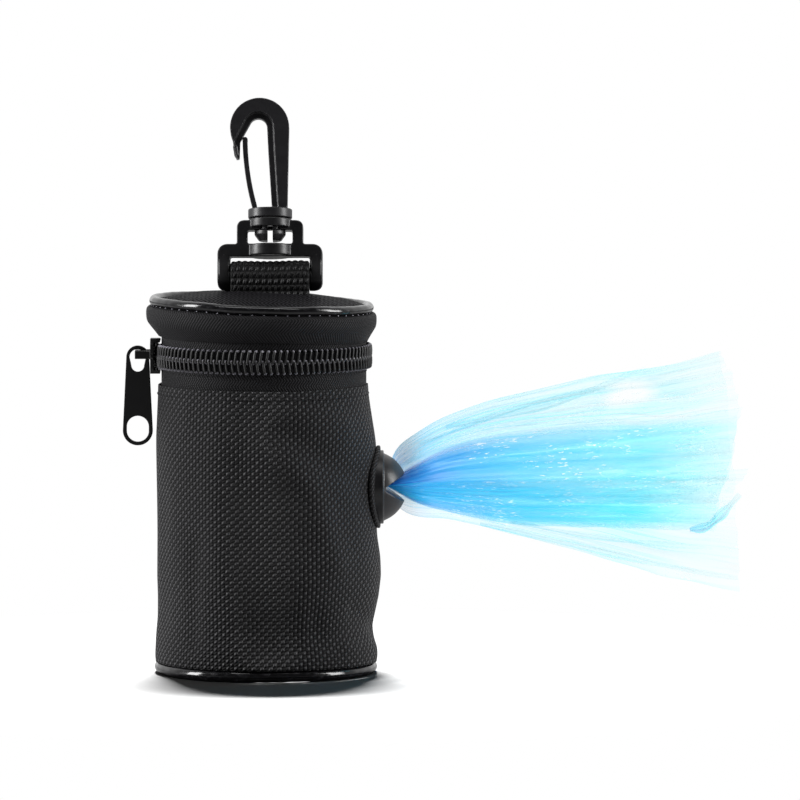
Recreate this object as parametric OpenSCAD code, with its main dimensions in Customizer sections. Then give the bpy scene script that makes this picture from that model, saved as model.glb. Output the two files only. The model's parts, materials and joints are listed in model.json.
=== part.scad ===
// Dog poop bag dispenser: a round zipped fabric pouch for one roll of bags, with a
// domed lid, a rubber outlet in its side and a swivel snap hook on a webbing loop.
// Millimetres. +Z is up, +X points to the outlet, -Y is the front.
// The origin is the centre of the base, on the surface that the pouch stands on.

/* [Pouch] */
// Outer radius of the fabric wall at its fullest
pouch_r = 28; // [27.5:0.5:32]
// Height of the wall's top edge
pouch_h = 72.4; // [70:0.2:84]
// Thickness of the wall fabric with its lining
wall_t = 1; // [0.8:0.1:1.2]
// How far the wall draws in at its top edge
wall_draw = 1.3; // [1:0.1:2]

/* [Base] */
// Radius of the vinyl bead round the base
base_bead_r = 1.3; // [0.8:0.1:1.4]
// Thickness of the base panel
base_panel_t = 1; // [0.8:0.1:1.4]
// Thickness of the stiffening board
base_board_t = 1.2; // [0.8:0.1:2]
// Height of the binding that covers an inner seam
binding_h = 5; // [4:0.5:7]
// Height of the ridge that slants across the wall
ridge_rise = 1.1; // [0.5:0.1:1.5]
// Depth of the wall's two valleys
valley_sink = 0.8; // [0.4:0.1:1.2]

/* [Zip] */
// Height of the zip's centre line above the wall's top edge
zip_rise = 7.2; // [6.8:0.1:8]
// Thickness of the woven tape
tape_t = 0.6; // [0.4:0.1:0.7]
// Gap between the two tapes' edges
tape_gap = 1.2; // [1:0.1:1.4]
// Width of the coil's flattened filament
coil_wire_d = 0.68; // [0.5:0.02:0.7]
// Spacing of the turns of one coil
coil_pitch = 1.55; // [1.5:0.05:1.8]
// Width of one coil, from its head to its back
coil_w = 3.1; // [2.8:0.1:3.3]
// How far a coil stands off its tape
coil_h = 1.5; // [1.5:0.1:1.7]
// Azimuth of the middle of the fabric hinge
hinge_azimuth = 142; // [135:1:150]
// Angle that the fabric hinge takes up
hinge_angle = 44; // [36:1:50]

/* [Slider] */
// Length of the slider along the zip
slider_l = 9.6; // [9:0.2:11]
// Width of the slider across the zip
slider_w = 8.8; // [8.6:0.1:9.4]
// Thickness of each slider plate
slider_plate_t = 1; // [0.8:0.1:1.1]
// How far the bridge stands out from the slider's face
bridge_rise = 3.85; // [3.7:0.05:4.2]
// Height of the bridge bar
bridge_h = 2; // [1.6:0.1:2]
// Thickness of the bridge bar
bridge_t = 1.3; // [1.1:0.1:1.4]

/* [Pull] */
// Length of the pull from end to end
pull_l = 25; // [22:0.5:25.5]
// Width of the pull at its hung end
pull_top_w = 5.7; // [5.4:0.1:5.8]
// Width of the pull at its free end
pull_end_w = 7.5; // [7:0.1:7.6]
// Thickness of the plate
pull_t = 1.3; // [1:0.1:2]
// Width of the rim left round the two holes
pull_rim = 0.9; // [0.7:0.05:1]

/* [Lid] */
// Height of the lid band
band_h = 8.6; // [8:0.2:12]
// Outer radius of the lid band at its fullest
band_r = 28.6; // [28.4:0.1:30]
// Radius of the vinyl bead round the lid
lid_bead_r = 0.9; // [0.7:0.1:1.1]
// Height of the dome above its rim
dome_rise = 2.6; // [1:0.1:3]
// Thickness of the lid panel
lid_t = 1.1; // [0.9:0.1:1.4]

/* [Strap loop] */
// Width of the webbing
webbing_w = 19.2; // [17:0.2:20]
// Thickness of the webbing
webbing_t = 1.5; // [1.2:0.1:1.7]
// Offset of the loop along X from the lid's centre
loop_x = 1.55; // [-2:0.05:2]
// Height of the swivel bar's axis above the top of the dome
bar_rise = 4; // [3.9:0.1:6]
// Length of the webbing tabs inside the lid
tab_l = 7; // [5:0.5:9]

/* [Swivel] */
// Width of the swivel base
base_w = 26.3; // [25:0.1:28]
// Radius of the bar that the webbing goes round
bar_r = 2.2; // [1.8:0.1:2.3]
// Depth of the swivel base, front to back
base_d = 4.6; // [4:0.2:5]
// Height of the slot above the bar
slot_h = 3.3; // [3.2:0.1:4]
// Height of the cross bar between the slot and the window
cross_h = 3.2; // [2.8:0.1:4]
// Width of the window housing
housing_w = 16.6; // [15.6:0.1:18]
// Width of the window
window_w = 11.2; // [9.8:0.1:12]
// Height of the window
window_h = 3.4; // [3.2:0.1:4.5]
// Thickness of the housing's top bar
top_bar_t = 2.5; // [2:0.1:3.5]
// Radius of the round boss that carries the hook
boss_r = 5.35; // [4.6:0.05:6]
// Radius of the hook's stem
stem_r = 3; // [2.4:0.1:3.2]
// Angle that the swivel and hook lean back at rest
lean = 11; // [0:1:15]

/* [Hook] */
// Thickness of the hook's body
hook_t = 5; // [4:0.2:6]
// Thickness of the thin flange round the eye
flange_t = 2.8; // [2:0.2:3.8]
// Width of the thin flange round the eye
flange_w = 1.6; // [1:0.1:2]
// Radius of the hook's collar
collar_r = 5.5; // [5:0.1:6]
// Thickness of the collar
collar_t = 2.3; // [1.8:0.1:3]
// Height of the crown's centre above the collar
crown_z = 20.5; // [18:0.5:24]
// Outer radius of the crown
crown_r = 7.4; // [7:0.1:7.8]
// Radius of the seat inside the crown
seat_r = 2.2; // [2:0.1:2.4]
// Thickness of the gate
gate_t = 1.25; // [1:0.05:1.4]
// Width of the gate, front to back
gate_w = 3.6; // [3:0.2:4.4]
// Sideways bow of the gate
gate_bow = 0.54; // [0.3:0.02:0.8]

/* [Outlet] */
// Height of the outlet's centre
outlet_z = 46.6; // [36:0.2:46.6]
// Radius of the sewn patch
patch_r = 10.2; // [10:0.1:10.2]
// Radius of the rubber dome
dome_r = 8.45; // [8:0.05:8.6]
// How far the full dome would stand out
dome_h = 5.9; // [5.2:0.1:6.4]
// Thickness of the rubber
rubber_t = 1.25; // [1:0.05:1.5]
// Height of the slit between the lips
slit_h = 1; // [0.9:0.1:1.4]
// Half height of the groove's mouth at the lips' tips
groove_half = 3.4; // [3:0.1:3.8]

/* [Bags] */
// Radius of the full roll
roll_r = 17; // [13:0.5:18]
// Length of the roll
roll_l = 59; // [50:1:62]
// Outer radius of the card core
core_r = 8.5; // [7:0.5:10]
// Thickness of the card core
core_t = 1; // [0.8:0.1:1.5]
// Length of bag that stands out of the outlet
film_l = 85; // [60:1:110]
// Height of the bag at its free end
film_end_h = 58; // [40:1:64]
// Thickness of the gathered bag
film_t = 1.6; // [1:0.1:3]
// How far the bag's pleats stand to each side at its free end
pleat_rise = 3; // [1:0.5:5]

/* [Hidden] */

$fn = 72;
eps = 0.01;
seam = 0.1;      // gap between sewn layers of one body
free = 0.3;      // gap between pieces that move past each other

// Zip: tape radii, height and the angles that the slider covers
top_r = pouch_r - wall_draw;
tape_out_r = top_r - wall_t - seam;
tape_in_r = tape_out_r - tape_t;
zip_z = pouch_h + zip_rise;
tape_tuck = 3.4;
coil_out_r = tape_out_r + coil_h;
slider_half = asin((slider_l / 2 + free) / tape_in_r);
zip_start = hinge_azimuth + hinge_angle / 2;
zip_end = 360 + hinge_azimuth - hinge_angle / 2;
stop_angle = 3;
closed_azimuth = zip_start + stop_angle + slider_half + 1;
coil_start = closed_azimuth + slider_half;
coil_end = zip_end - (coil_start - zip_start);
stop_w = 1.6;
coil_head = 0.62;

// Slider and pull
slider_in_r = coil_out_r + 0.25;
slider_face_r = slider_in_r + slider_plate_t;
inner_plate_r = tape_in_r - 1;
bridge_r = slider_face_r + bridge_rise - bridge_t / 2;
pull_pivot_r = bridge_r;
bridge_lift = 0.3;
pull_pivot_z = zip_z + bridge_lift;
pull_top_z = pull_pivot_z + bridge_h / 2 + 0.25 + pull_rim;

// Lid
band_z0 = zip_z + slider_w / 2 + free;
band_z1 = band_z0 + band_h;
tape_top_z = band_z0 + 3;
lid_bead_x = band_r - 0.6 - lid_bead_r;
lid_bead_z = band_z1 - lid_bead_r;
lid_rim_z = lid_bead_z + 0.1;
lid_rim_r = lid_bead_x - lid_bead_r - seam;
lid_top_z = lid_rim_z + dome_rise;

// Strap loop and swivel
bar_z = lid_top_z + bar_rise;
loop_in_r = bar_r + free;
loop_out_r = loop_in_r + webbing_t;
slot_half = webbing_w / 2 + free;
end_r = 3;
slot_top_z = bar_z + bar_r + slot_h;
window_z0 = slot_top_z + cross_h;
window_z1 = window_z0 + window_h;
housing_z1 = window_z1 + top_bar_t;
boss_z1 = housing_z1 + 0.5;
collar_z0 = boss_z1 + 0.12;
collar_z1 = collar_z0 + collar_t;
stem_gap = 0.06;
prong_gap = 1.3;
prong_catch = 0.9;

// Hook outline, measured from the collar's top on the swivel axis
crown_x = -2.65;
seat_x = crown_x - 0.35;
seat_z = crown_z + 0.1;
gate_root = [-3.9, gate_t / 2 + 0.08];
gate_tip = [seat_x - 3.3, crown_z - 3.05];
nose_tip = [crown_x - 5.45, crown_z - 7.9];

// Outlet
patch_t = 1;
grommet_flange_t = 0.9;
grommet_x = pouch_r + patch_t + grommet_flange_t;
outlet_sphere_r = (pow(dome_r, 2) + pow(dome_h, 2)) / (2 * dome_h);
outlet_sphere_x = grommet_x + dome_h - outlet_sphere_r;
groove_apex_x = grommet_x + 0.6;
lip_tip_x = outlet_sphere_x + sqrt(pow(outlet_sphere_r, 2) - pow(groove_half, 2));
outlet_bore_r = dome_r - 1.7;
tube_r = outlet_bore_r + rubber_t;
slit_w = 11;

// Bag, roll and base
board_top_z = base_panel_t + seam + base_board_t;
roll_z = board_top_z + free;
film_start_x = pouch_r - 4.4;
film_fan_x = pull_pivot_r + pull_end_w / 2 + 1;
film_end_x = film_fan_x + film_l;
gather_x = -0.36 * pouch_r;
pleat_start = -12;
pleat_step = 4.6;

// Radius of the wall's outer face at the height z
function wall_outer(z) =
    let (u = z / pouch_h)
    pouch_r - wall_draw * pow(max(0, u - 0.45) / 0.55, 2) - 0.35 * pow(1 - min(1, u / 0.3), 2);

// Folds of the wall
ridge_azimuth = 283.5;
ridge_z = 0.71 * pouch_h;
valley_azimuth = 307;
valley_z = 0.75 * pouch_h;
crease_azimuth = 257;
fold_wall = wall_outer(ridge_z);
fold_r = 0.11 * pouch_r;
crease_r = 0.15 * pouch_r;
fold_end = 0.96;

// Point at a radius and an azimuth
function polar(r, a) = [r * cos(a), r * sin(a)];

// Outline round two circles, one above the other
function capsule(r_top, y_top, r_end, y_end, step = 6) = concat(
    [for (a = [0:step:180]) [r_top * cos(a), y_top + r_top * sin(a)]],
    [for (a = [180:step:360]) [r_end * cos(a), y_end + r_end * sin(a)]]
);

// Ring with a rectangular section
module ring(r_in, r_out, z0, z1) {
    translate([0, 0, z0])
        difference() {
            cylinder(r = r_out, h = z1 - z0);
            translate([0, 0, -1]) cylinder(r = r_in, h = z1 - z0 + 2);
        }
}

// Part of a ring, from one azimuth to another
module ring_arc(r_in, r_out, z0, z1, a0, a1) {
    rotate([0, 0, a0])
        rotate_extrude(angle = a1 - a0)
            translate([r_in, z0]) square([r_out - r_in, z1 - z0]);
}

// The wall's profile as a closed band, with its outer face moved out by grow
module wall_profile(grow, thick) {
    z0 = 2 * base_bead_r + 0.1;
    steps = 9;
    heights = [for (i = [0:steps]) z0 + (pouch_h - z0) * i / steps];
    polygon(concat(
        [for (z = heights) [wall_outer(z) + grow, z]],
        [for (i = [steps:-1:0]) [wall_outer(heights[i]) + grow - thick, heights[i]]]
    ));
}

// The space inside the wall's outer face
module wall_core(grow) {
    steps = 9;
    z1 = pouch_h - 4;
    rotate_extrude()
        polygon(concat(
            [[0, 4]],
            [for (i = [0:steps]) let (z = 4 + (z1 - 4) * i / steps) [wall_outer(z) + grow, z]],
            [[0, z1]]
        ));
}

// Vinyl bead with the flange that its seam holds; side is 1 when the flange stands up
module piping(bead_x, bead_z, bead_r, side) {
    flange_t = 0.4;
    flange_l = 3.6;
    rotate_extrude() {
        translate([bead_x, bead_z]) circle(r = bead_r, $fn = 32);
        translate([bead_x - bead_r + 0.1, side > 0 ? bead_z : bead_z - flange_l])
            square([flange_t, flange_l]);
    }
}

// Places children at the outlet: their +Z runs out along +X
module at_outlet(x) {
    translate([x, 0, outlet_z]) rotate([0, 90, 0]) children();
}

// ---- Pouch ----

// Round cord that follows the wall on a slant, with round ends
module slant_cord(azimuth, z, slant, span, reach, r) {
    rotate([0, 0, azimuth])
        translate([0, 0, z])
            rotate([slant, 0, 0])
                rotate([0, 0, -span / 2]) {
                    rotate_extrude(angle = span) translate([reach, 0]) circle(r = r);
                    for (a = [0, span])
                        rotate([0, 0, a]) translate([reach, 0, 0]) sphere(r = fold_end * r);
                }
}

// Upright cord beside the wall, with round ends
module upright_cord(azimuth, z0, z1, reach, r) {
    rotate([0, 0, azimuth])
        translate([reach, 0, z0]) {
            cylinder(r = r, h = z1 - z0);
            for (h = [0, z1 - z0]) translate([0, 0, h]) sphere(r = fold_end * r);
        }
}

// The cords that press the wall's two valleys in; grow gives the cloth's inner face
module valley_cords(grow) {
    slant_cord(valley_azimuth, valley_z, -25, 44, fold_wall - valley_sink + fold_r, fold_r + grow);
    upright_cord(crease_azimuth, 0.34 * pouch_h, 0.8 * pouch_h,
        fold_wall - valley_sink + crease_r, crease_r + grow);
}

module wall_panel() {
    color([0.13, 0.13, 0.145])
        difference() {
            union() {
                rotate_extrude() wall_profile(0, wall_t);
                difference() {
                    slant_cord(ridge_azimuth, ridge_z, -38, 32, fold_wall + ridge_rise - fold_r, fold_r);
                    cylinder(r = fold_wall - wall_t / 2, h = pouch_h);
                }
                intersection() {
                    valley_cords(wall_t);
                    cylinder(r = fold_wall - wall_t / 2, h = pouch_h);
                }
            }
            valley_cords(0);
            at_outlet(0) cylinder(r = tube_r + seam, h = pouch_r + 5);
        }
}

module wall_seam_tape() {
    color([0.1, 0.1, 0.11])
        rotate([0, 0, hinge_azimuth - 7])
            rotate_extrude(angle = 14)
                intersection() {
                    wall_profile(-wall_t - seam, 0.5);
                    translate([0, 2 * base_bead_r + binding_h + 2])
                        square([2 * pouch_r, pouch_h - 2 * base_bead_r - binding_h - 8]);
                }
}

module base_panel() {
    color([0.13, 0.13, 0.145])
        cylinder(r = pouch_r - 2 * base_bead_r - 2 * seam, h = base_panel_t);
}

module base_board() {
    color([0.55, 0.45, 0.33])
        translate([0, 0, base_panel_t + seam])
            cylinder(r = pouch_r - 2 * base_bead_r - 1.2, h = base_board_t);
}

module base_piping() {
    color([0.08, 0.08, 0.085])
        piping(pouch_r - base_bead_r - 0.1, base_bead_r, base_bead_r, 1);
}

module base_binding() {
    r = pouch_r - 2 * base_bead_r - seam;
    color([0.1, 0.1, 0.11])
        ring(r - 0.8, r - seam, base_panel_t + base_board_t + 0.4, base_panel_t + binding_h);
}

// Tape that stands from z0 to z1, with one edge at the zip's centre line
module zip_tape(z0, z1) {
    color([0.09, 0.09, 0.095])
        ring_arc(tape_in_r, tape_out_r, z0, z1, zip_start, zip_end);
}

// One turn of the coil: a long link that stands across the tape, pressed flat.
// side is 1 for the upper coil and -1 for the lower; the heads reach over the centre.
module coil_turn(side) {
    outer_r = coil_h / 2 - 0.02;
    inner_r = outer_r - coil_wire_d;
    back_z = coil_w - outer_r;
    head_z = outer_r - coil_head;
    outer = capsule(outer_r, back_z, outer_r, head_z, 30);
    inner = capsule(inner_r, back_z, inner_r, head_z, 90);
    translate([tape_out_r + coil_h / 2, 0, 0])
        mirror([0, 0, side > 0 ? 0 : 1]) rotate([90, 0, 0])
            linear_extrude(height = coil_wire_d, center = true)
                polygon(concat(outer, inner), [
                    [for (i = [0:len(outer) - 1]) i],
                    [for (i = [0:len(inner) - 1]) len(outer) + i]
                ]);
}

// A row of turns along the zip; the lower row sits half a pitch on, so the heads mesh
module coil_row(side) {
    step = coil_pitch / (tape_out_r + coil_h / 2) * 180 / PI;
    count = floor((coil_end - coil_start) / step) - 1;
    shift = side > 0 ? 0 : step / 2;
    color([0.07, 0.07, 0.075])
        for (i = [0:count])
            rotate([0, 0, coil_start + shift + i * step])
                translate([0, 0, zip_z]) coil_turn(side);
}

// Crimped stops at the two ends of one tape
module zip_stops(side) {
    edge = tape_gap / 2;
    stop_h = 2.4;
    color([0.16, 0.16, 0.17])
        for (a = [zip_start + stop_angle / 2, zip_end - stop_angle / 2])
            translate([0, 0, zip_z]) rotate([0, 0, a]) mirror([0, 0, side > 0 ? 0 : 1])
                difference() {
                    translate([tape_in_r - 0.6, -stop_w / 2, 0.1])
                        cube([tape_t + 1.8, stop_w, stop_h]);
                    ring(tape_in_r - 0.03, tape_out_r + 0.03, edge - 0.03, stop_h + 1);
                }
}

module zip_tape_lower() {
    zip_tape(pouch_h - tape_tuck, zip_z - tape_gap / 2);
}

module zip_coil_lower() {
    coil_row(-1);
}

module zip_stops_lower() {
    zip_stops(-1);
}

// Fabric that joins the lid to the pouch behind the zip's two ends
module hinge_panel() {
    color([0.12, 0.12, 0.13])
        ring_arc(tape_in_r, tape_out_r, pouch_h - tape_tuck, tape_top_z,
            hinge_azimuth - hinge_angle / 2 + 0.5, hinge_azimuth + hinge_angle / 2 - 0.5);
}

module outlet_patch() {
    color([0.12, 0.12, 0.13])
        difference() {
            intersection() {
                at_outlet(0.8 * pouch_r) cylinder(r = patch_r, h = 0.4 * pouch_r);
                rotate_extrude() wall_profile(patch_t + 0.02, patch_t);
            }
            at_outlet(0) cylinder(r = tube_r + seam, h = pouch_r + 5);
        }
}

module outlet_backing() {
    back_x = film_start_x + 0.3;
    color([0.1, 0.1, 0.11])
        difference() {
            intersection() {
                at_outlet(back_x) cylinder(r = patch_r, h = 0.2 * pouch_r);
                rotate_extrude() wall_profile(-wall_t - 0.05, 1.2);
            }
            at_outlet(0) cylinder(r = tube_r + seam, h = pouch_r + 5);
        }
}

// Wedge across the dome; grow thickens it on both sides
module groove(grow, apex_x) {
    slope = (groove_half - slit_h / 2) / (lip_tip_x - groove_apex_x);
    reach = outlet_sphere_x + outlet_sphere_r + 2;
    a = slit_h / 2 + grow;
    b = a + slope * (reach - groove_apex_x);
    translate([0, patch_r + 1, outlet_z]) rotate([90, 0, 0])
        linear_extrude(height = 2 * patch_r + 2)
            polygon([[apex_x, -a], [reach, -b], [reach, b], [apex_x, a]]);
}

// Half section of the dome, its saddle and its neck, to be turned about the outlet's axis
module grommet_section(inset, x0, rim_r) {
    intersection() {
        translate([0, outlet_sphere_x]) circle(r = outlet_sphere_r - inset);
        translate([0, groove_apex_x - 1]) square([dome_r - inset, dome_h + 3]);
    }
    translate([0, x0]) square([tube_r - inset, groove_apex_x - x0]);
    if (rim_r > 0)
        translate([0, pouch_r - 3]) square([rim_r, grommet_x - pouch_r + 3]);
}

// Rubber dome with a deep groove across it, a slit at the groove's foot, a saddle that
// sits on the patch and a neck through the wall
module outlet_grommet() {
    neck_x = pouch_r - 3.2;
    color([0.24, 0.24, 0.255])
        difference() {
            at_outlet(0) rotate_extrude() grommet_section(0, neck_x, dome_r + 0.75);
            difference() {
                wall_core(patch_t + 0.04);
                at_outlet(0) cylinder(r = tube_r, h = 2 * pouch_r);
            }
            groove(0, groove_apex_x);
            difference() {
                at_outlet(0) rotate_extrude() grommet_section(rubber_t, neck_x - 1, 0);
                groove(rubber_t, groove_apex_x - 1.2 * rubber_t);
            }
            translate([neck_x - 1, -slit_w / 2, outlet_z - slit_h / 2])
                cube([groove_apex_x - neck_x + 2, slit_w, slit_h]);
        }
}

// Gathered bag between the roll and the outlet
module film_lead() {
    leave = 60;      // azimuth at which the bag leaves the roll
    wide = 0.4 * roll_l;
    ply = 0.5;
    narrow = [ply, 0.2 * roll_r, 0.4];
    color([0.16, 0.42, 0.78])
        hull() {
            translate([roll_r * cos(leave) + 2.8, 0.7 - roll_r * sin(leave), outlet_z - 0.68 * wide])
                cube([ply, ply, wide]);
            translate([film_start_x - 0.8, -1.15 * narrow[1], outlet_z - narrow[2] / 2]) cube(narrow);
        }
}

// ---- Lid ----

// Domed panel; its underside follows its top
module lid_panel() {
    dome_sphere = (pow(lid_rim_r, 2) + pow(dome_rise, 2)) / (2 * dome_rise);
    steps = 8;
    function rise(r) = sqrt(pow(dome_sphere, 2) - r * r) - (dome_sphere - dome_rise);
    radii = [for (i = [0:steps]) lid_rim_r * i / steps];
    color([0.12, 0.12, 0.125])
        difference() {
            rotate_extrude()
                polygon(concat(
                    [for (r = radii) [r, lid_rim_z + rise(r)]],
                    [for (i = [steps:-1:0]) [radii[i], lid_rim_z + rise(radii[i]) - lid_t]]
                ));
            for (side = [-1, 1])
                translate([loop_x, side * (loop_in_r + webbing_t / 2), lid_rim_z])
                    cube([webbing_w + 0.2, webbing_t + 0.2, 4 * dome_rise + 8], center = true);
        }
}

module lid_piping() {
    color([0.08, 0.08, 0.085]) piping(lid_bead_x, lid_bead_z, lid_bead_r, -1);
}

// Band that bulges out and tucks in over the zip
module lid_band() {
    tuck_r = tape_out_r + seam + wall_t;
    h = band_h - 2 * lid_bead_r - seam / 2;
    outer = [
        [tuck_r, 0], [tuck_r + 0.9, 0.16], [band_r - 0.25, 0.36], [band_r, 0.6],
        [band_r - 0.2, 0.86], [band_r - 0.75, 1]
    ];
    color([0.11, 0.11, 0.115])
        translate([0, 0, band_z0])
            rotate_extrude()
                polygon(concat(
                    [for (p = outer) [p[0], p[1] * h]],
                    [for (i = [len(outer) - 1:-1:0]) [outer[i][0] - wall_t, outer[i][1] * h]]
                ));
}

module lid_binding() {
    r = lid_rim_r - seam;
    color([0.1, 0.1, 0.11])
        ring(r - 0.7, r, tape_top_z + seam, lid_rim_z - lid_t - 0.4);
}

module zip_tape_upper() {
    zip_tape(zip_z + tape_gap / 2, tape_top_z);
}

module zip_coil_upper() {
    coil_row(1);
}

module zip_stops_upper() {
    zip_stops(1);
}

// Webbing that rounds the swivel bar; its two legs pass into the lid and fold out flat
module strap_loop() {
    mid = loop_in_r + webbing_t / 2;
    inside_z = lid_rim_z - lid_t - 1.4;
    color([0.1, 0.1, 0.105])
        translate([loop_x + webbing_w / 2, 0, 0]) rotate([0, -90, 0])
            linear_extrude(height = webbing_w) {
                difference() {
                    translate([bar_z, 0]) circle(r = loop_out_r);
                    translate([bar_z, 0]) circle(r = loop_in_r);
                    translate([bar_z - 3 * loop_out_r, -2 * loop_out_r])
                        square([3 * loop_out_r, 4 * loop_out_r]);
                }
                for (side = [-1, 1]) {
                    translate([inside_z, side * mid - webbing_t / 2])
                        square([bar_z - inside_z + eps, webbing_t]);
                    translate([inside_z, side > 0 ? mid - webbing_t / 2 : -mid - tab_l])
                        square([webbing_t * 0.6, tab_l + webbing_t / 2]);
                }
            }
}

// Fabric patch that backs the webbing tabs under the lid
module strap_patch() {
    inside_z = lid_rim_z - lid_t - 1.4;
    size = [webbing_w + 4, 2 * (loop_out_r + tab_l) + 1, 0.6];
    color([0.12, 0.12, 0.13])
        translate([loop_x - size[0] / 2, -size[1] / 2, inside_z - size[2] - 0.05]) cube(size);
}

// ---- Zip slider and pull ----

// Outline of a slider plate: wide at the nose, drawn in at the tail
module slider_outline() {
    half_l = slider_l / 2;
    half_w = slider_w / 2;
    polygon([
        [-half_l, -half_w + 1], [-half_l + 0.7, -half_w + 0.35], [0, -half_w],
        [half_l - 1.5, -half_w], [half_l, -half_w + 1.4], [half_l, -0.7],
        [half_l - 0.6, 0], [half_l, 0.7], [half_l, half_w - 1.4],
        [half_l - 1.5, half_w], [0, half_w], [-half_l + 0.7, half_w - 0.35],
        [-half_l, half_w - 1]
    ]);
}

// Slider drawn flat: X along the zip with the nose at +X, Z out from the pouch
module slider_flat() {
    flange_in = coil_w + 0.35;
    gap_lo = tape_in_r - 0.35;
    gap_hi = tape_out_r + 0.3;
    module slab(z0, z1) {
        translate([0, 0, z0]) linear_extrude(height = z1 - z0) slider_outline();
    }
    module flanges(z0, z1) {
        difference() {
            slab(z0, z1);
            translate([-slider_l, -flange_in, z0 - 1]) cube([2 * slider_l, 2 * flange_in, z1 - z0 + 2]);
        }
    }
    slab(slider_in_r, slider_face_r);
    slab(inner_plate_r - slider_plate_t, inner_plate_r);
    flanges(gap_hi, slider_in_r + eps);
    // Neck that joins the plates and parts the coils
    translate([slider_l / 2 - 3.4, 0, inner_plate_r - eps])
        linear_extrude(height = slider_in_r - inner_plate_r + 2 * eps)
            polygon([[0, 0.28], [1.6, 0.38], [2.7, 0.38], [2.7, -0.38], [1.6, -0.38], [0, -0.28]]);
    // Bridge: a flat bar on two legs
    for (end = [-1, 1])
        translate([end * (slider_l / 2 - 1.9) - 0.7, bridge_lift - bridge_h / 2, slider_face_r - eps])
            cube([1.4, bridge_h, bridge_rise - bridge_t + 2 * eps]);
    translate([-(slider_l / 2 - 1.2), bridge_lift - bridge_h / 2, slider_face_r + bridge_rise - bridge_t])
        cube([slider_l - 2.4, bridge_h, bridge_t]);
}

// Stands the flat slider up at the closed end of the zip
module at_closed_end() {
    rotate([0, 0, closed_azimuth]) translate([0, 0, zip_z])
        rotate([90, 0, 0]) rotate([0, 90, 0]) children();
}

module zip_slider() {
    color([0.1, 0.1, 0.105]) at_closed_end() slider_flat();
}

// Flat plate with an egg-shaped hole for the bridge and a round one for a cord
module zip_pull() {
    top_y = pull_top_z - pull_pivot_z;
    hole_r = pull_top_w / 2 - pull_rim + 0.1;
    cord_r = pull_end_w / 2 - pull_rim - 0.1;
    color([0.09, 0.09, 0.095])
        rotate([0, 0, closed_azimuth]) translate([pull_pivot_r, 0, pull_pivot_z])
            rotate([90, 0, 0]) translate([0, 0, -pull_t / 2])
                linear_extrude(height = pull_t)
                    difference() {
                        polygon(capsule(pull_top_w / 2, top_y - pull_top_w / 2,
                            pull_end_w / 2, top_y - pull_l + pull_end_w / 2));
                        polygon(capsule(hole_r, top_y - pull_rim - hole_r,
                            hole_r - 0.45, top_y - pull_rim - hole_r - 2));
                        polygon(capsule(cord_r, top_y - pull_l + pull_rim + cord_r + 1,
                            cord_r, top_y - pull_l + pull_rim + cord_r));
                    }
}

// ---- Swivel and hook ----

// Tips its children back about the bar that the webbing goes round
module leaned() {
    translate([0, 0, bar_z]) rotate([-lean, 0, 0]) translate([0, 0, -bar_z]) children();
}

// Block with round corners in the XZ plane, centred on the swivel axis
module rounded_block(w, z0, z1, depth, r) {
    translate([loop_x, depth / 2, 0]) rotate([90, 0, 0])
        linear_extrude(height = depth) {
            translate([-w / 2 + r, z0]) square([w - 2 * r, z1 - z0]);
            translate([-w / 2, z0 + r]) square([w, z1 - z0 - 2 * r]);
            for (x = [-w / 2 + r, w / 2 - r], z = [z0 + r, z1 - r])
                translate([x, z]) circle(r = r, $fn = 32);
        }
}

// Moulded base: bar, end blocks, cross bar, window housing and round bosses
module swivel_base() {
    color([0.09, 0.09, 0.095])
        leaned() difference() {
            union() {
                rounded_block(base_w, bar_z - end_r + 1.5, window_z0 - 0.1, base_d, 2.4);
                intersection() {
                    translate([loop_x - base_w / 2, 0, bar_z]) rotate([0, 90, 0])
                        cylinder(r = end_r, h = base_w);
                    rounded_block(base_w, bar_z - end_r, window_z0, 4 * end_r, 2.2);
                }
                rounded_block(housing_w, window_z0 - 3, housing_z1, base_d, 1.7);
                translate([loop_x, 0, slot_top_z + 0.1])
                    cylinder(r = window_w / 2, h = cross_h - 0.3);
                translate([loop_x, 0, window_z1 + 0.7])
                    cylinder(r = boss_r, h = boss_z1 - window_z1 - 0.7);
            }
            // Room for the webbing round the bar
            translate([loop_x - slot_half, -base_w, bar_z - end_r - 2])
                difference() {
                    cube([2 * slot_half, 2 * base_w, slot_top_z - bar_z + end_r + 2]);
                    translate([-1, base_w, end_r + 2]) rotate([0, 90, 0])
                        cylinder(r = bar_r, h = 2 * slot_half + 2);
                }
            // Window
            translate([loop_x - window_w / 2, -base_d, window_z0])
                cube([window_w, 2 * base_d, window_h]);
            // Bearing for the hook's stem
            translate([loop_x, 0, window_z1 - 1])
                cylinder(r = stem_r + stem_gap, h = top_bar_t + 3);
        }
}

// Space inside the hook, grown by the flange's width for the thick body
module hook_eye(grow) {
    r = seat_r + grow;
    translate([seat_x, seat_z]) circle(r = r);
    polygon([
        [seat_x + r, seat_z], [seat_x + r + 0.3, seat_z - 6], [0.5 + grow, -1],
        [-6.4 - grow, -1], [nose_tip[0] + 0.7, nose_tip[1] - 4 - grow],
        [nose_tip[0] + 0.45 - grow * 0.3, nose_tip[1]], [seat_x - 4.5 - grow, seat_z - 3.6],
        [seat_x - r * 0.8, seat_z + r * 0.6]
    ]);
}

// Whole outline of the hook above its collar
module hook_outline() {
    spine_w = 3.85;
    translate([crown_x, crown_z]) circle(r = crown_r);
    polygon([[0.5, 0], [0.5 + spine_w, 0], [crown_x + crown_r, crown_z], [-3, crown_z], [-3, 0]]);
    polygon([
        [crown_x - crown_r, crown_z], [crown_x - crown_r + 0.65, crown_z - 3],
        [crown_x - crown_r + 1, crown_z - 5.6], nose_tip + [-0.45, 0.7], nose_tip,
        nose_tip + [0.45, 0.5], [seat_x, crown_z]
    ]);
    translate(nose_tip + [0.12, 0.62]) circle(r = 0.62, $fn = 32);
}

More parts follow.
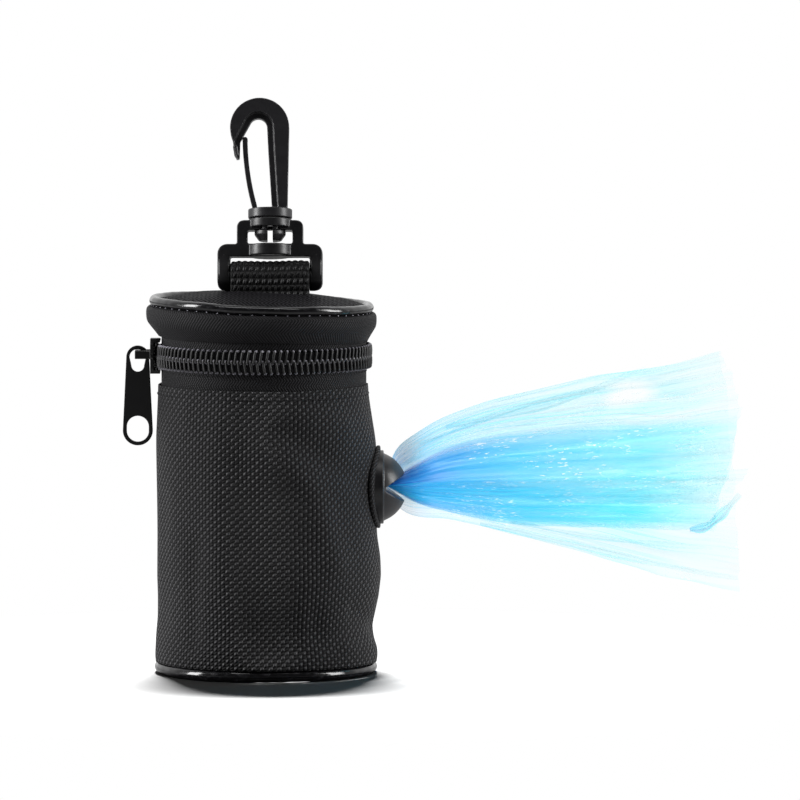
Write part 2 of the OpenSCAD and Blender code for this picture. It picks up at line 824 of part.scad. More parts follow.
// Snap hook: stepped hook plate, collar, stem and split prongs
module swivel_hook() {
    stem_z0 = window_z1 - stem_gap;
    prong_r = stem_r + prong_catch;
    prong_h = window_h - 0.9;
    color([0.13, 0.13, 0.135])
        leaned() translate([loop_x, 0, collar_z1]) {
            rotate([90, 0, 0]) {
                translate([0, 0, -hook_t / 2]) linear_extrude(height = hook_t)
                    difference() {
                        hook_outline();
                        hook_eye(flange_w);
                    }
                translate([0, 0, -flange_t / 2]) linear_extrude(height = flange_t)
                    difference() {
                        hook_outline();
                        hook_eye(0);
                    }
            }
            translate([0, 0, -collar_t]) cylinder(r = collar_r, h = collar_t + eps);
            difference() {
                union() {
                    translate([0, 0, stem_z0 - collar_z1 - 0.2])
                        cylinder(r = stem_r, h = collar_z1 - stem_z0 - collar_t + 0.3);
                    translate([0, 0, stem_z0 - collar_z1 - 1]) cylinder(r = prong_r, h = 1);
                    translate([0, 0, stem_z0 - collar_z1 - prong_h])
                        cylinder(r1 = stem_r - 0.2, r2 = prong_r, h = prong_h - 1);
                }
                translate([-prong_gap / 2, -prong_r - 1, stem_z0 - collar_z1 - prong_h - 1])
                    cube([prong_gap, 2 * prong_r + 2, prong_h + 3]);
            }
        }
}

// Springy tongue, bowed towards the nose, with a rounded head
module hook_gate() {
    along = gate_tip - gate_root;
    chord = norm(along);
    bow_r = pow(chord, 2) / (8 * gate_bow) + gate_bow / 2;
    mid = (gate_tip + gate_root) / 2;
    inward = [along[1], -along[0]] / chord;
    centre = mid + inward * (bow_r - gate_bow);
    color([0.12, 0.12, 0.125])
        leaned() translate([loop_x, gate_w / 2, collar_z1]) rotate([90, 0, 0])
            linear_extrude(height = gate_w) {
                intersection() {
                    difference() {
                        translate(centre) circle(r = bow_r + gate_t / 2, $fn = 360);
                        translate(centre) circle(r = bow_r - gate_t / 2, $fn = 360);
                    }
                    translate([gate_tip[0] - 4, gate_root[1]])
                        square([8, gate_tip[1] - gate_root[1]]);
                }
                translate(gate_root) circle(r = gate_t / 2, $fn = 32);
                translate(gate_tip) circle(r = gate_t / 2 + 0.05, $fn = 32);
            }
}

// ---- Bags ----

module roll_core() {
    color([0.62, 0.5, 0.36]) ring(core_r - core_t, core_r, roll_z, roll_z + roll_l);
}

module bag_roll() {
    color([0.2, 0.5, 0.85]) ring(core_r + 0.05, roll_r, roll_z + 0.5, roll_z + roll_l - 0.5);
}

// Bag end: a gathered neck in the slit and a flat fan beyond the lips
// Edge of the bag as seen from the front, from the upper corner at the outlet and round
module film_outline() {
    h = film_end_h;
    polygon([
        [film_fan_x, 0.16 * h], [film_fan_x + 0.22 * film_l, 0.35 * h],
        [film_fan_x + 0.62 * film_l, 0.48 * h], [film_end_x, 0.56 * h],
        [film_end_x, -0.44 * h], [film_fan_x + 0.6 * film_l, -0.3 * h],
        [film_fan_x + 0.15 * film_l, -0.13 * h], [film_fan_x, -0.07 * h]
    ]);
}

// One flat pleat between two directions from the gather point; side says which way it leans
module pleat(low, high, side) {
    reach = 1.1 * (film_end_x - gather_x);
    half = (high - low) / 2;
    lean_to = side * atan(pleat_rise / (film_end_x - gather_x) / tan(half));
    rise = 1.02 * reach * tan(half) / cos(lean_to);
    rotate([0, -(low + high) / 2, 0])
        rotate([lean_to, 0, 0])
            translate([0, film_t / 2, 0])
                rotate([90, 0, 0])
                    linear_extrude(height = film_t)
                        polygon([[0, 0], [reach, -rise], [reach, rise]]);
}

module bag_film() {
    neck_w = slit_w - 2.5;
    neck_t = 0.4;
    color([0.45, 0.8, 0.97, 0.6]) {
        translate([film_start_x, -neck_w / 2, outlet_z - neck_t / 2])
            cube([film_fan_x - film_start_x + 1, neck_w, neck_t]);
        intersection() {
            translate([0, 2 * pleat_rise + film_t, outlet_z])
                rotate([90, 0, 0])
                    linear_extrude(height = 4 * pleat_rise + 2 * film_t) film_outline();
            translate([gather_x, 0, outlet_z])
                for (i = [0:6])
                    pleat(pleat_start + i * pleat_step, pleat_start + (i + 1) * pleat_step, 1 - 2 * (i % 2));
        }
    }
}

wall_panel();
wall_seam_tape();
base_panel();
base_board();
base_piping();
base_binding();
zip_tape_lower();
zip_coil_lower();
zip_stops_lower();
hinge_panel();
outlet_patch();
outlet_backing();
outlet_grommet();
film_lead();
lid_panel();
lid_piping();
lid_band();
lid_binding();
zip_tape_upper();
zip_coil_upper();
zip_stops_upper();
strap_loop();
strap_patch();
zip_slider();
zip_pull();
swivel_base();
swivel_hook();
hook_gate();
roll_core();
bag_roll();
bag_film();
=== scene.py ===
"""Looks for a round zipped pouch for a roll of bags: fabric shell, domed lid, coil zip with its
slider, swivel snap hook on webbing, rubber outlet and the bag that is being pulled out of it.

Shapes are worked out in millimetres, in the part's own frame: +Z up, +X to the outlet and -Y the
front.
"""
import json
import math

import bpy
import numpy as np
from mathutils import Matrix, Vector

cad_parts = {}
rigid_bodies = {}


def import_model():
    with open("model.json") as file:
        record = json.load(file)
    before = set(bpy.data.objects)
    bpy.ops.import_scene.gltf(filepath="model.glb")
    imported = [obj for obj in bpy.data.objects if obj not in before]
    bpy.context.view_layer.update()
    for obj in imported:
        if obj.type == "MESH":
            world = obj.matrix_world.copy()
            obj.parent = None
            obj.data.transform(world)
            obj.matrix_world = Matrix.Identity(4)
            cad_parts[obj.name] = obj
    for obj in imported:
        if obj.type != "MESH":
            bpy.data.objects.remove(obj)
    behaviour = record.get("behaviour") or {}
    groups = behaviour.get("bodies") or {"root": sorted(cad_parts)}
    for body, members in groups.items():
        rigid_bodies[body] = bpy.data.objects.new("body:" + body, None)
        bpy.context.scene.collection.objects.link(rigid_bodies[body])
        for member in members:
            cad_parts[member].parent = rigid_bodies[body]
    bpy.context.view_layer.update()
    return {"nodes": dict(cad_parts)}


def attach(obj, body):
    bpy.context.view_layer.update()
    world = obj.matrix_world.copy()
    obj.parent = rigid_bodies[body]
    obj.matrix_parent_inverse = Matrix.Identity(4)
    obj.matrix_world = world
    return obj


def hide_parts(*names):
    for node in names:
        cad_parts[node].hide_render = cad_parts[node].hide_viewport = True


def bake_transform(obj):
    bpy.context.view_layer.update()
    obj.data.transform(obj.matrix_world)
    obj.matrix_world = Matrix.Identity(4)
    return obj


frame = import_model()

MM = 0.001
TAU = 2 * math.pi
FRONT = math.radians(270)

# Sizes of the part, in millimetres
ZIP_Z = 79.6
TAPE_OUT_R = 25.6
TAPE_LOW_Z, TAPE_HIGH_Z = 69.2, 87.3
ZIP_START, ZIP_END = 164.0, 480.0
COIL_START, COIL_END = 180.6, 456.0
COIL_PITCH = 1.55
HINGE = (120.5, 163.5)
SLIDER_R, SLIDER_START, SLIDER_CORE_END, SLIDER_END = 27.4, 168.6, 178.5, 191.0
LOOP_X = 1.55
BAR_Z = 98.7
OUTLET_Z = 46.6
LID_BEAD_R, LID_BEAD_X, LID_BEAD_Z = 1.20, 26.75, 92.5
LID_R, LID_SHIFT = 26.2, -0.6
BASE_BEAD_R = 1.48
ROLL_R, CORE_R, ROLL_Z, ROLL_L = 17.0, 8.5, 2.6, 59.0
WALL_R, WALL_LOW_Z, WALL_HIGH_Z = 27.4, 3.0, 72.4
LEAN = math.radians(11)  # how far the snap hook leans back about its bar


# ---- Camera, floor and light ----

def look_at(thing, place, target):
    """Puts a camera or lamp at place and turns its -Z to the target."""
    thing.location = place
    thing.rotation_euler = (Vector(target) - Vector(place)).to_track_quat("-Z", "Y").to_euler()
    bpy.context.scene.collection.objects.link(thing)


def set_camera():
    """A long lens in front of the pouch, 4.3 degrees above level, with 200 mm across its frame."""
    target = np.array([34.0, 0.0, 68.4]) * MM
    rise = math.radians(4.3)
    distance = 2.5
    data = bpy.data.cameras.new("camera")
    data.sensor_width = 36
    data.lens = 36 * distance / 0.200
    data.clip_end = 50
    camera = bpy.data.objects.new("camera", data)
    place = target + distance * np.array([0, -math.cos(rise), math.sin(rise)])
    look_at(camera, place, target)
    bpy.context.scene.camera = camera


def set_lamp(name, place, size, power, only, blocked_by=None):
    """One soft rectangular lamp that faces the pouch: only is the collection that it lights, and
    blocked_by the one that throws its shadow."""
    data = bpy.data.lights.new(name, "AREA")
    data.shape = "RECTANGLE"
    data.size, data.size_y = size
    data.energy = power
    lamp = bpy.data.objects.new(name, data)
    look_at(lamp, place, (0.01, 0, 0.06))
    lamp.light_linking.receiver_collection = only
    if blocked_by:
        lamp.light_linking.blocker_collection = blocked_by


# ---- Shader values ----

class Value:
    """A socket of a finish. Arithmetic on it adds Math nodes."""

    def __init__(self, finish, socket):
        self.finish, self.socket = finish, socket

    def math(self, operation, *others, clamp=False):
        links = {0: self}
        links.update({n + 1: other for n, other in enumerate(others)})
        return self.finish.add("Math", {"operation": operation, "use_clamp": clamp}, links)

    def __add__(self, other):
        return self.math("ADD", other)

    def __sub__(self, other):
        return self.math("SUBTRACT", other)

    def __mul__(self, other):
        return self.math("MULTIPLY", other)

    def __truediv__(self, other):
        return self.math("DIVIDE", other)

    def __pow__(self, other):
        return self.math("POWER", other)

    def __rsub__(self, other):
        return (self * -1.0) + other

    def __abs__(self):
        return self.math("ABSOLUTE")

    __radd__ = __add__
    __rmul__ = __mul__

    def sin(self):
        return self.math("SINE")

    def clamp(self):
        return self.math("ADD", 0.0, clamp=True)

    def lowest(self, other):
        return self.math("MINIMUM", other)

    def highest(self, other):
        return self.math("MAXIMUM", other)

    def step(self, low, high):
        """0 below low and 1 above high, straight between."""
        return ((self - low) * (1.0 / (high - low))).clamp()


class Finish:
    """A material, or the room, and the nodes that make it."""

    def __init__(self, name, owner=None):
        self.material = owner or bpy.data.materials.new(name)
        self.material.use_nodes = True
        self.nodes = self.material.node_tree.nodes
        self.links = self.material.node_tree.links
        self.nodes.clear()

    def add(self, kind, settings=None, inputs=None, out=0):
        """A node of one kind: its settings first, then the values or links of its sockets."""
        node = self.nodes.new("ShaderNode" + kind)
        for key, setting in (settings or {}).items():
            if key == "ramp":
                stops = node.color_ramp.elements
                for place, _ in setting[1:-1]:
                    stops.new(place)
                for stop, (place, colour) in zip(stops, setting):
                    stop.position = place
                    stop.color = tuple(colour) + (1,)
            else:
                setattr(node, key, setting)
        for key, given in (inputs or {}).items():
            if isinstance(given, Value):
                self.links.new(given.socket, node.inputs[key])
            elif (isinstance(given, (tuple, list)) and len(given) == 3
                  and node.inputs[key].type == "RGBA"):
                node.inputs[key].default_value = tuple(given) + (1,)
            else:
                node.inputs[key].default_value = given
        return Value(self, node.outputs[out]) if node.outputs else None

    def uv(self):
        """The two coordinates of the piece's own map, in millimetres."""
        at = self.add("SeparateXYZ", None, {0: self.add("UVMap", {"uv_map": "flat"})})
        return at, Value(self, at.socket.node.outputs[1])

    def place(self):
        """Object coordinates, as a vector in metres."""
        return self.add("TexCoord", None, None, "Object")

    def split(self, vector):
        """The three parts of a vector in metres, in millimetres."""
        outs = self.add("SeparateXYZ", None, {0: vector}).socket.node.outputs
        return [Value(self, out) * 1000.0 for out in outs]

    def vector(self, x, y, z=0.0):
        return self.add("CombineXYZ", None, {0: x, 1: y, 2: z})

    def noise(self, vector, scale, detail=2.0, rough=0.5):
        return self.add("TexNoise", None, {"Vector": vector, "Scale": scale, "Detail": detail,
                                           "Roughness": rough})

    def cells(self, vector, scale, feature="F1"):
        return self.add("TexVoronoi", {"feature": feature}, {"Vector": vector, "Scale": scale})

    def mix(self, mask, low, high):
        """Colour low where the mask is 0 and high where it is 1."""
        return self.add("Mix", {"data_type": "RGBA"}, {0: mask, 6: low, 7: high}, 2)

    def bump(self, height, strength, distance):
        return self.add("Bump", None,
                        {"Height": height, "Strength": strength, "Distance": distance})

    def finish(self, **sockets):
        """The Principled shader, with sockets named in lower case with underscores."""
        inputs = {key.replace("_", " ").title().replace("Ior", "IOR"): given
                  for key, given in sockets.items()}
        shader = self.add("BsdfPrincipled", None, inputs)
        self.add("OutputMaterial", None, {"Surface": shader})
        return self.material


def grey(value, tint=(0.98, 0.95, 1.09)):
    """A near-neutral colour of that brightness."""
    return tuple(value * part for part in tint)


def plain_weave(u, v, wide, tall, slant):
    """Plain weave. With c = sign(sin(pi u / wide)) cos(pi (v - slant w) / tall), where w is the
    distance from the middle of the yarn, the upright yarn of a column is on top where c > 0, and
    neighbouring columns are half a repeat apart. Gives the height of the upright yarns, tall
    slanted ovals |sin(pi u / wide)| (c + 0.5), and of the level yarns between them."""
    across = (u * (math.pi / wide)).sin()
    middle = ((u * (1 / wide)).math("FRACT") - 0.5) * wide
    along = ((v - middle * slant) * (math.pi / tall) + math.pi / 2).sin()
    over = across.math("SIGN") * along
    upright = (abs(across) ** 0.5) * (((over + 0.5) * (1 / 1.5)).highest(0.0) ** 0.7)
    level = (abs(along) ** 0.8) * ((over * -1.0).highest(0.0) ** 0.6) * (abs(across) * 0.6 + 0.4)
    return upright, level


def woven_cloth(name, wide, tall, dark, light, depth, weft_share=0.30, wander=0.35, gloss=0.36,
                slant=0.55):
    """Coarse plain weave: yarn humps that catch light, their crowns also painted lighter, and
    painted shade in the pits between them, fibre streaks and slow wear. wide and tall are the
    yarns' spacings in millimetres."""
    cloth = Finish(name)
    u, v = cloth.uv()
    spot = cloth.vector(u, v)
    drift = cloth.noise(spot, 0.22, 2.0) - 0.5
    jitter = cloth.noise(spot, 1.1, 1.0) - 0.5
    u2 = u + drift * wander + jitter * 0.2
    v2 = v + cloth.noise(cloth.vector(v, u), 0.3, 1.0) * wander + jitter * 0.16
    upright, level = plain_weave(u2, v2, wide, tall, slant)
    fibre = cloth.noise(cloth.vector(u * 5.0, v * 1.2), 2.0, 2.0)
    fray = cloth.noise(spot, 2.4, 2.0)
    hump = upright.highest(level * weft_share) * (fray * 0.3 + 0.85) * (fibre * 0.3 + 0.85)
    # The crowns' colour is painted lighter and the pits' colour is painted shade, on top of the
    # bump
    crown = hump.step(0.14, 0.72)
    worn = cloth.noise(spot, 0.09, 3.0).step(0.35, 0.75)
    base = cloth.mix((crown * (worn * 0.3 + 0.8)).clamp(), grey(dark), grey(light))
    height = upright.highest(level * 0.75) + fibre * 0.08
    return cloth.finish(base_color=base, roughness=0.92 - crown * 0.46, specular_ior_level=gloss,
                        normal=cloth.bump(height, 0.9, depth))


def chevron_tape(name, row, line, dark, light, slope=0.75, gloss=0.2, cord=0.42):
    """Herringbone tape: fine ribs that slant one way in one row and the other way in the next.
    The ribs are sin(2 pi (u + slope |v folded|) / line)."""
    tape = Finish(name)
    u, v = tape.uv()
    fold = abs(tape.add("Math", {"operation": "PINGPONG"}, {0: v, 1: row}))
    wobble = tape.noise(tape.vector(u, v), 0.8, 1.0) * 0.35
    rib = ((u + fold * slope + wobble) * (TAU / line)).sin() * 0.5 + 0.5
    cross = (v * (TAU / cord)).sin() * 0.5 + 0.5
    thread = tape.noise(tape.vector(u, v), 2.6, 2.0)
    # Rib crowns are painted lighter and the grooves between them painted shade, on top of the bump
    crown = (rib * (cross * 0.35 + 0.65) * (thread * 0.8 + 0.6)).step(0.15, 0.75)
    worn = tape.noise(tape.vector(u, v), 0.12, 2.0)
    base = tape.mix((crown * (worn * 0.5 + 0.7)).clamp(), grey(dark), grey(light))
    return tape.finish(base_color=base, roughness=0.86 - crown * 0.34,
                       normal=tape.bump(crown + cross * 0.2, 0.7, 0.00013),
                       specular_ior_level=gloss)


def gloss_vinyl(name):
    """Shiny piping: soft waves along it and dust in its dull spots."""
    vinyl = Finish(name)
    u, v = vinyl.uv()
    wave = vinyl.noise(vinyl.vector(u * 0.30, v * 0.35), 1.0, 1.0)
    dust = vinyl.noise(vinyl.vector(u * 0.7, v), 0.9, 2.0).step(0.50, 0.75)
    base = vinyl.mix(dust * 0.7, grey(0.005), grey(0.030))
    return vinyl.finish(base_color=base, roughness=dust * 0.12 + wave * 0.06 + 0.13,
                        normal=vinyl.bump(wave, 0.05, 0.0006), specular_ior_level=0.5)


def coil_nylon():
    """Drawn filament, dull along its legs, with a painted highlight at its bends, which are also
    glossier. The map's first value is the phase of the coil."""
    nylon = Finish("coil_nylon")
    vector = nylon.place()
    phase, around = nylon.uv()
    # Pale colour painted on the bends stands in for their highlights; a fine noise and stripes
    # round the filament break it up
    painted_bend_highlight = abs((phase + math.pi / 2).sin()).step(0.80, 0.99)
    rub = nylon.noise(vector, 900.0, 2.0)
    slow = nylon.noise(vector, 90.0, 1.0)
    groove = (around * (2 * TAU)).sin() * 0.5 + 0.5
    base = nylon.mix(painted_bend_highlight * (rub * 0.6 + 0.4) * (groove * 0.7 + 0.4), grey(0.005), grey(0.55))
    return nylon.finish(base_color=base, roughness=slow * 0.1 + 0.46 - painted_bend_highlight * 0.30,
                        specular_ior_level=0.5, normal=nylon.bump(rub, 0.2, 0.00004))


def moulded_plastic(name, dark, light, rough):
    """Satin moulding: spark-eroded grain, faint flow marks and paler, glossier scuffed patches here
    and there.
    """
    plastic = Finish(name)
    vector = plastic.place()
    x, y, z = plastic.split(vector)
    grain = plastic.noise(vector, 1100.0, 3.0, 0.6)
    flow = plastic.noise(plastic.vector(x * 0.05, y * 0.05, z * 0.4), 1.0, 3.0)
    scuff = plastic.noise(plastic.vector(x * 0.9, y * 0.9, z * 0.25), 1.2, 3.0).step(0.56, 0.72)
    base = plastic.mix(flow * 0.45 + scuff * 0.35, grey(dark), grey(light))
    return plastic.finish(base_color=base, specular_ior_level=0.5,
                          roughness=grain * 0.14 + flow * 0.08 + rough + scuff * -0.07,
                          normal=plastic.bump(grain + flow * 0.5, 0.16, 0.00006))


def painted_metal(name, dark, light, rough):
    """Black paint on a stamped or cast part: orange peel, small chips and rubbed patches."""
    paint = Finish(name)
    vector = paint.place()
    peel = paint.noise(vector, 520.0, 2.0)
    speck = paint.cells(vector, 700.0).step(0.0, 0.12)
    rub = paint.noise(vector, 160.0, 4.0, 0.65).step(0.55, 0.75)
    base = paint.mix(rub * 0.5 + (1 - speck) * 0.3, grey(dark), grey(light))
    return paint.finish(base_color=base, roughness=peel * 0.12 + rub * 0.12 + rough,
                        specular_ior_level=0.32,
                        normal=paint.bump(peel + speck * 0.2, 0.2, 0.00005))


def soft_rubber():
    """Matt rubber with a bloom of pale dust and fine pores."""
    rubber = Finish("soft_rubber")
    vector = rubber.place()
    pore = rubber.cells(vector, 1300.0)
    bloom = rubber.noise(vector, 140.0, 4.0, 0.6).step(0.35, 0.8)
    fine = rubber.noise(vector, 900.0, 2.0)
    base = rubber.mix(bloom * 0.8 + fine * 0.2, grey(0.006), grey(0.028))
    return rubber.finish(base_color=base, roughness=0.34 + bloom * 0.16, specular_ior_level=0.5,
                         normal=rubber.bump(pore * 0.4 + fine, 0.2, 0.00008))


def grey_board(name, low, high):
    """Pulp board or card: flecks, long fibres and a faint mottling."""
    board = Finish(name)
    vector = board.place()
    x, y, z = board.split(vector)
    fleck = board.noise(vector, 1500.0, 3.0, 0.7)
    mottle = board.noise(vector, 180.0, 3.0)
    fibre = board.noise(board.vector(x * 2.5, y * 2.5, z * 0.4), 1.5, 2.0)
    base = board.mix((fleck * 0.6 + mottle * 0.4 + fibre * 0.2).step(0.3, 0.95), low, high)
    return board.finish(base_color=base, roughness=0.86,
                        normal=board.bump(fleck + fibre, 0.35, 0.0001))


def twisted_thread(name, dark, light):
    """Sewing thread: two plies that turn round each other, as slanted bands."""
    thread = Finish(name)
    u, v = thread.uv()
    ply = ((u * 2.2 + v) * TAU).sin() * 0.5 + 0.5
    # The plies' bands are painted light and dark: the dark band is painted shade in the groove
    # between plies
    base = thread.mix(ply, dark, light)
    return thread.finish(base_color=base, roughness=0.7, specular_ior_level=0.2,
                         normal=thread.bump(ply, 0.6, 0.00006))


def rolled_film():
    """The wound roll: thin plies seen at the ends, creases round the side."""
    film = Finish("rolled_film")
    u, v = film.uv()
    ply = (v * (TAU / 0.55) + u * 0.02).sin() * 0.5 + 0.5
    crease = film.noise(film.vector(u * 0.25, v * 1.4), 1.2, 3.0)
    edge = film.noise(film.vector(u, v * 6.0), 0.8, 2.0)
    base = film.mix((ply * 0.35 + crease * 0.7).clamp(), (0.030, 0.20, 0.62), (0.10, 0.50, 0.93))
    return film.finish(base_color=base, roughness=0.24 + edge * 0.25, specular_ior_level=0.6,
                       normal=film.bump(crease + ply * 0.3, 0.5, 0.0003))


def blown_film(name, stops, cover, band, streak, near, soft):
    """Thin blue bag film. The map's first value runs from the throat (0) to the mouth (1), the
    second across the fan. Soft folds and thin lines fan out from the throat, white glints of
    crumpled film are painted in clumps as highlights, and the mouth fades. stops are the colours
    from throat to mouth. cover is the share of one wall that hides what is behind it, and band,
    streak and near are what broad folds, thin lines and the crowded plies at the throat add to it.
    soft is how much the upper edge and the very bottom fade. One clear patch is near the top."""
    film = Finish(name)
    u, v = film.uv()
    x, _, z = film.split(film.place())
    fold = film.noise(film.vector(u * 0.9, v * 7.0, 1.7), 1.0, 2.0, 0.5)
    ray = film.noise(film.vector(u * 1.0, v * 13.0, 4.1), 1.0, 3.0, 0.55)
    line = (1 - abs(ray - 0.5) * 20.0).clamp()
    patchy = film.noise(film.vector(u * 3.0, v * 3.0, 0.3), 1.6, 3.0, 0.6)
    # White strokes in clumps are painted highlights of crumpled film; they also hide a little more
    # of what is behind
    stroke = film.noise(film.vector(u * 46.0 + v * 26.0, v * 52.0 - u * 22.0, 2.3), 1.0, 3.0, 0.6)
    clump = film.noise(film.vector(u * 8.0, v * 5.0, 8.3), 1.0, 2.0).step(0.50, 0.60)
    painted_glint = stroke.step(0.59, 0.65) * clump * u.step(0.05, 0.2)
    tone = (u + (patchy - 0.5) * 0.22 - (fold - 0.5) * 0.12 - line * 0.06).clamp()
    pale = film.add("ValToRGB", {"ramp": stops}, {0: tone})
    base = film.mix(painted_glint * 0.9, pale, (0.97, 1.0, 1.0))
    past, above = x - 91.2, z - 69.9
    gap = film.vector(past / 7.5 + (patchy - 0.5) * 1.6,
                      (above - past * 0.20) / 2.6 + (fold - 0.5) * 3.2 + (ray - 0.5) * 1.6)
    hole = 1 - film.add("VectorMath", {"operation": "LENGTH"}, {0: gap}, 1).step(0.55, 1.15)
    crowd = (1 - u).clamp() ** 3.0
    hides = (fold - 0.5) * band + (patchy - 0.5) * 0.25 + line * streak + crowd * near + cover
    edge = (1 - (v * (1 - v)) * 60.0).clamp()
    alpha = (hides + edge * 0.10) * (1 - u.step(0.76, 1.0) * 0.66) * (1 - hole * 0.96) + painted_glint * 0.3
    alpha = alpha * (1 - v.step(0.85, 1.0) * soft) * (1 - (1 - v).step(0.94, 1.0) * soft)
    height = fold * 0.5 + ray * 0.2 + stroke * clump * 0.3
    return film.finish(base_color=base, alpha=alpha.lowest(0.97).highest(0.01),
                       roughness=0.22 + patchy * 0.25, specular_ior_level=0.4,
                       normal=film.bump(height, 0.35, 0.001))


# ---- Surfaces ----

def skin(name, points, flat, round_u=False, round_v=False, flip=False, keep=None):
    """A piece from a grid of points [i, j] in millimetres, joined into four-sided faces.
    round_u and round_v join the last row or column to the first. flat holds each corner's place
    on the cut cloth, with one more row or column where the grid is round. keep says which faces
    stay."""
    points = np.asarray(points, float)
    nu, nv = points.shape[:2]
    i, j = np.meshgrid(np.arange(nu if round_u else nu - 1), np.arange(nv if round_v else nv - 1),
                       indexing="ij")
    corners = [(i, j), (i + 1, j), (i + 1, j + 1), (i, j + 1)]
    if flip:
        corners = corners[::-1]
    faces = np.stack([(a % nu) * nv + (b % nv) for a, b in corners], -1).reshape(-1, 4)
    on_cloth = np.stack([flat[a, b] for a, b in corners], -2).reshape(-1, 4, 2)
    if keep is not None:
        stay = keep(points[i, j]).reshape(-1)
        faces, on_cloth = faces[stay], on_cloth[stay]
    used = np.unique(faces)
    renumber = np.zeros(nu * nv, int)
    renumber[used] = np.arange(len(used))
    faces = renumber[faces]
    mesh = bpy.data.meshes.new(name)
    mesh.vertices.add(len(used))
    mesh.vertices.foreach_set("co", (points.reshape(-1, 3)[used] * MM).ravel())
    mesh.loops.add(faces.size)
    mesh.loops.foreach_set("vertex_index", faces.ravel().astype(np.int32))
    mesh.polygons.add(len(faces))
    mesh.polygons.foreach_set("loop_start", np.arange(0, faces.size, 4, dtype=np.int32))
    mesh.polygons.foreach_set("use_smooth", np.ones(len(faces), bool))
    mesh.update(calc_edges=True)
    mesh.uv_layers.new(name="flat").data.foreach_set("uv", on_cloth.reshape(-1).astype(np.float32))
    mesh.validate()
    piece = bpy.data.objects.new(name, mesh)
    bpy.context.scene.collection.objects.link(piece)
    return piece


def cloth_map(u, v):
    """Corner places on the cut cloth for a grid: u down the rows, v along the columns."""
    return np.stack(np.meshgrid(u, v, indexing="ij"), -1)


def close_ends(piece):
    """Merges the corners that meet at a piece's closed ends."""
    piece.modifiers.new("tips", "WELD").merge_threshold = 2e-7
    return piece


def thicken(piece, thickness, offset=-1.0):
    """Gives a skin its wall, inwards from its face."""
    wall = piece.modifiers.new("wall", "SOLIDIFY")
    wall.thickness = thickness * MM
    wall.offset = offset
    wall.use_even_offset = True
    wall.use_quality_normals = True
    return piece


def fit(piece, material, body, slot, *nodes):
    """Gives a piece its finish and its body, and hides the nodes that it stands for; slot is not
    used.
    """
    piece.data.materials.clear()
    piece.data.materials.append(material)
    if body:
        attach(piece, body)
    if nodes:
        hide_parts(*nodes)
    return piece


def circle(steps):
    """Angles of even steps round a full turn."""
    return np.linspace(0, TAU, steps, endpoint=False)


def bent(x, power):
    """A power that keeps its number's sign."""
    return np.sign(x) * np.abs(x) ** power


def turned(radius, angle, z):
    """Points at a radius and an angle about the pouch's axis."""
    return np.stack(np.broadcast_arrays(radius * np.cos(angle), radius * np.sin(angle), z), -1)


def ripple(angle, z, seed, size):
    """A slow unevenness: four sines of the angle and height with fixed phases."""
    a, b, c, d = np.random.default_rng(seed).uniform(0, TAU, 4)
    return size * (0.4 * np.sin(3 * angle + a + 0.05 * z) + 0.3 * np.sin(7 * angle + b - 0.09 * z)
                   + 0.2 * np.sin(13 * angle + c + 0.15 * z)
                   + 0.15 * np.sin(2 * angle + d + 0.22 * z))


def bead_ring(name, radius, height, bead):
    """Round bead carried round the pouch, that swells and thins a little along its way. radius and
    height are functions of the angle."""
    steps, sides = 420, 20
    angle = circle(steps)[:, None]
    turn = circle(sides)[None, :]
    swell = 1 + (0.020 * np.sin(17 * angle + 0.7) + 0.012 * np.sin(41 * angle + 2.1))
    r = radius(angle) + bead * swell * np.cos(turn)
    z = height(angle) + bead * swell * np.sin(turn)
    flat = cloth_map(np.linspace(0, TAU * radius(0.0), steps + 1),
                     np.linspace(0, TAU * bead, sides + 1))
    return skin(name, turned(r, angle, z), flat, round_u=True, round_v=True)


def ribbon(name, radius, low, high, start, end, wave, seed, rows=9, per_degree=1.0):
    """Upright strip of cloth or tape that follows a circle from start to end degrees. radius is a
    number or a function of angle and height."""
    steps = int((end - start) * per_degree) + 1
    angle = np.radians(np.linspace(start, end, steps))[:, None]
    z = np.linspace(low, high, rows)[None, :] + 0 * angle
    if callable(radius):
        radius = radius(angle, z)
    r = radius + ripple(angle, z, seed, wave)
    flat = cloth_map(np.radians(np.linspace(start, end, steps)) * 26, np.linspace(low, high, rows))
    return skin(name, turned(r, angle, z), flat)


def disc(name, radius, height, steps=72):
    """Round sheet: the square a, b from -1 to 1 is pressed into the circle
    x = a sqrt(1 - b b / 2), y = b sqrt(1 - a a / 2). height is a function of x and y."""
    a, b = np.meshgrid(np.linspace(-1, 1, steps), np.linspace(-1, 1, steps), indexing="ij")
    x = radius * a * np.sqrt(1 - b * b / 2)
    y = radius * b * np.sqrt(1 - a * a / 2)
    return skin(name, np.stack([x, y, height(x, y)], -1), np.stack([x, y], -1))


def frames_along(path):
    """Two directions square to a path and to each other, the first as level as it can be."""
    tangent = np.gradient(path, axis=0)
    tangent /= np.linalg.norm(tangent, axis=1, keepdims=True)
    side = np.cross(tangent, [0.0, 0.0, 1.0])
    length = np.linalg.norm(side, axis=1, keepdims=True)
    side = np.where(length > 1e-3, side / np.maximum(length, 1e-9), [[1.0, 0.0, 0.0]])
    return side, np.cross(side, tangent)


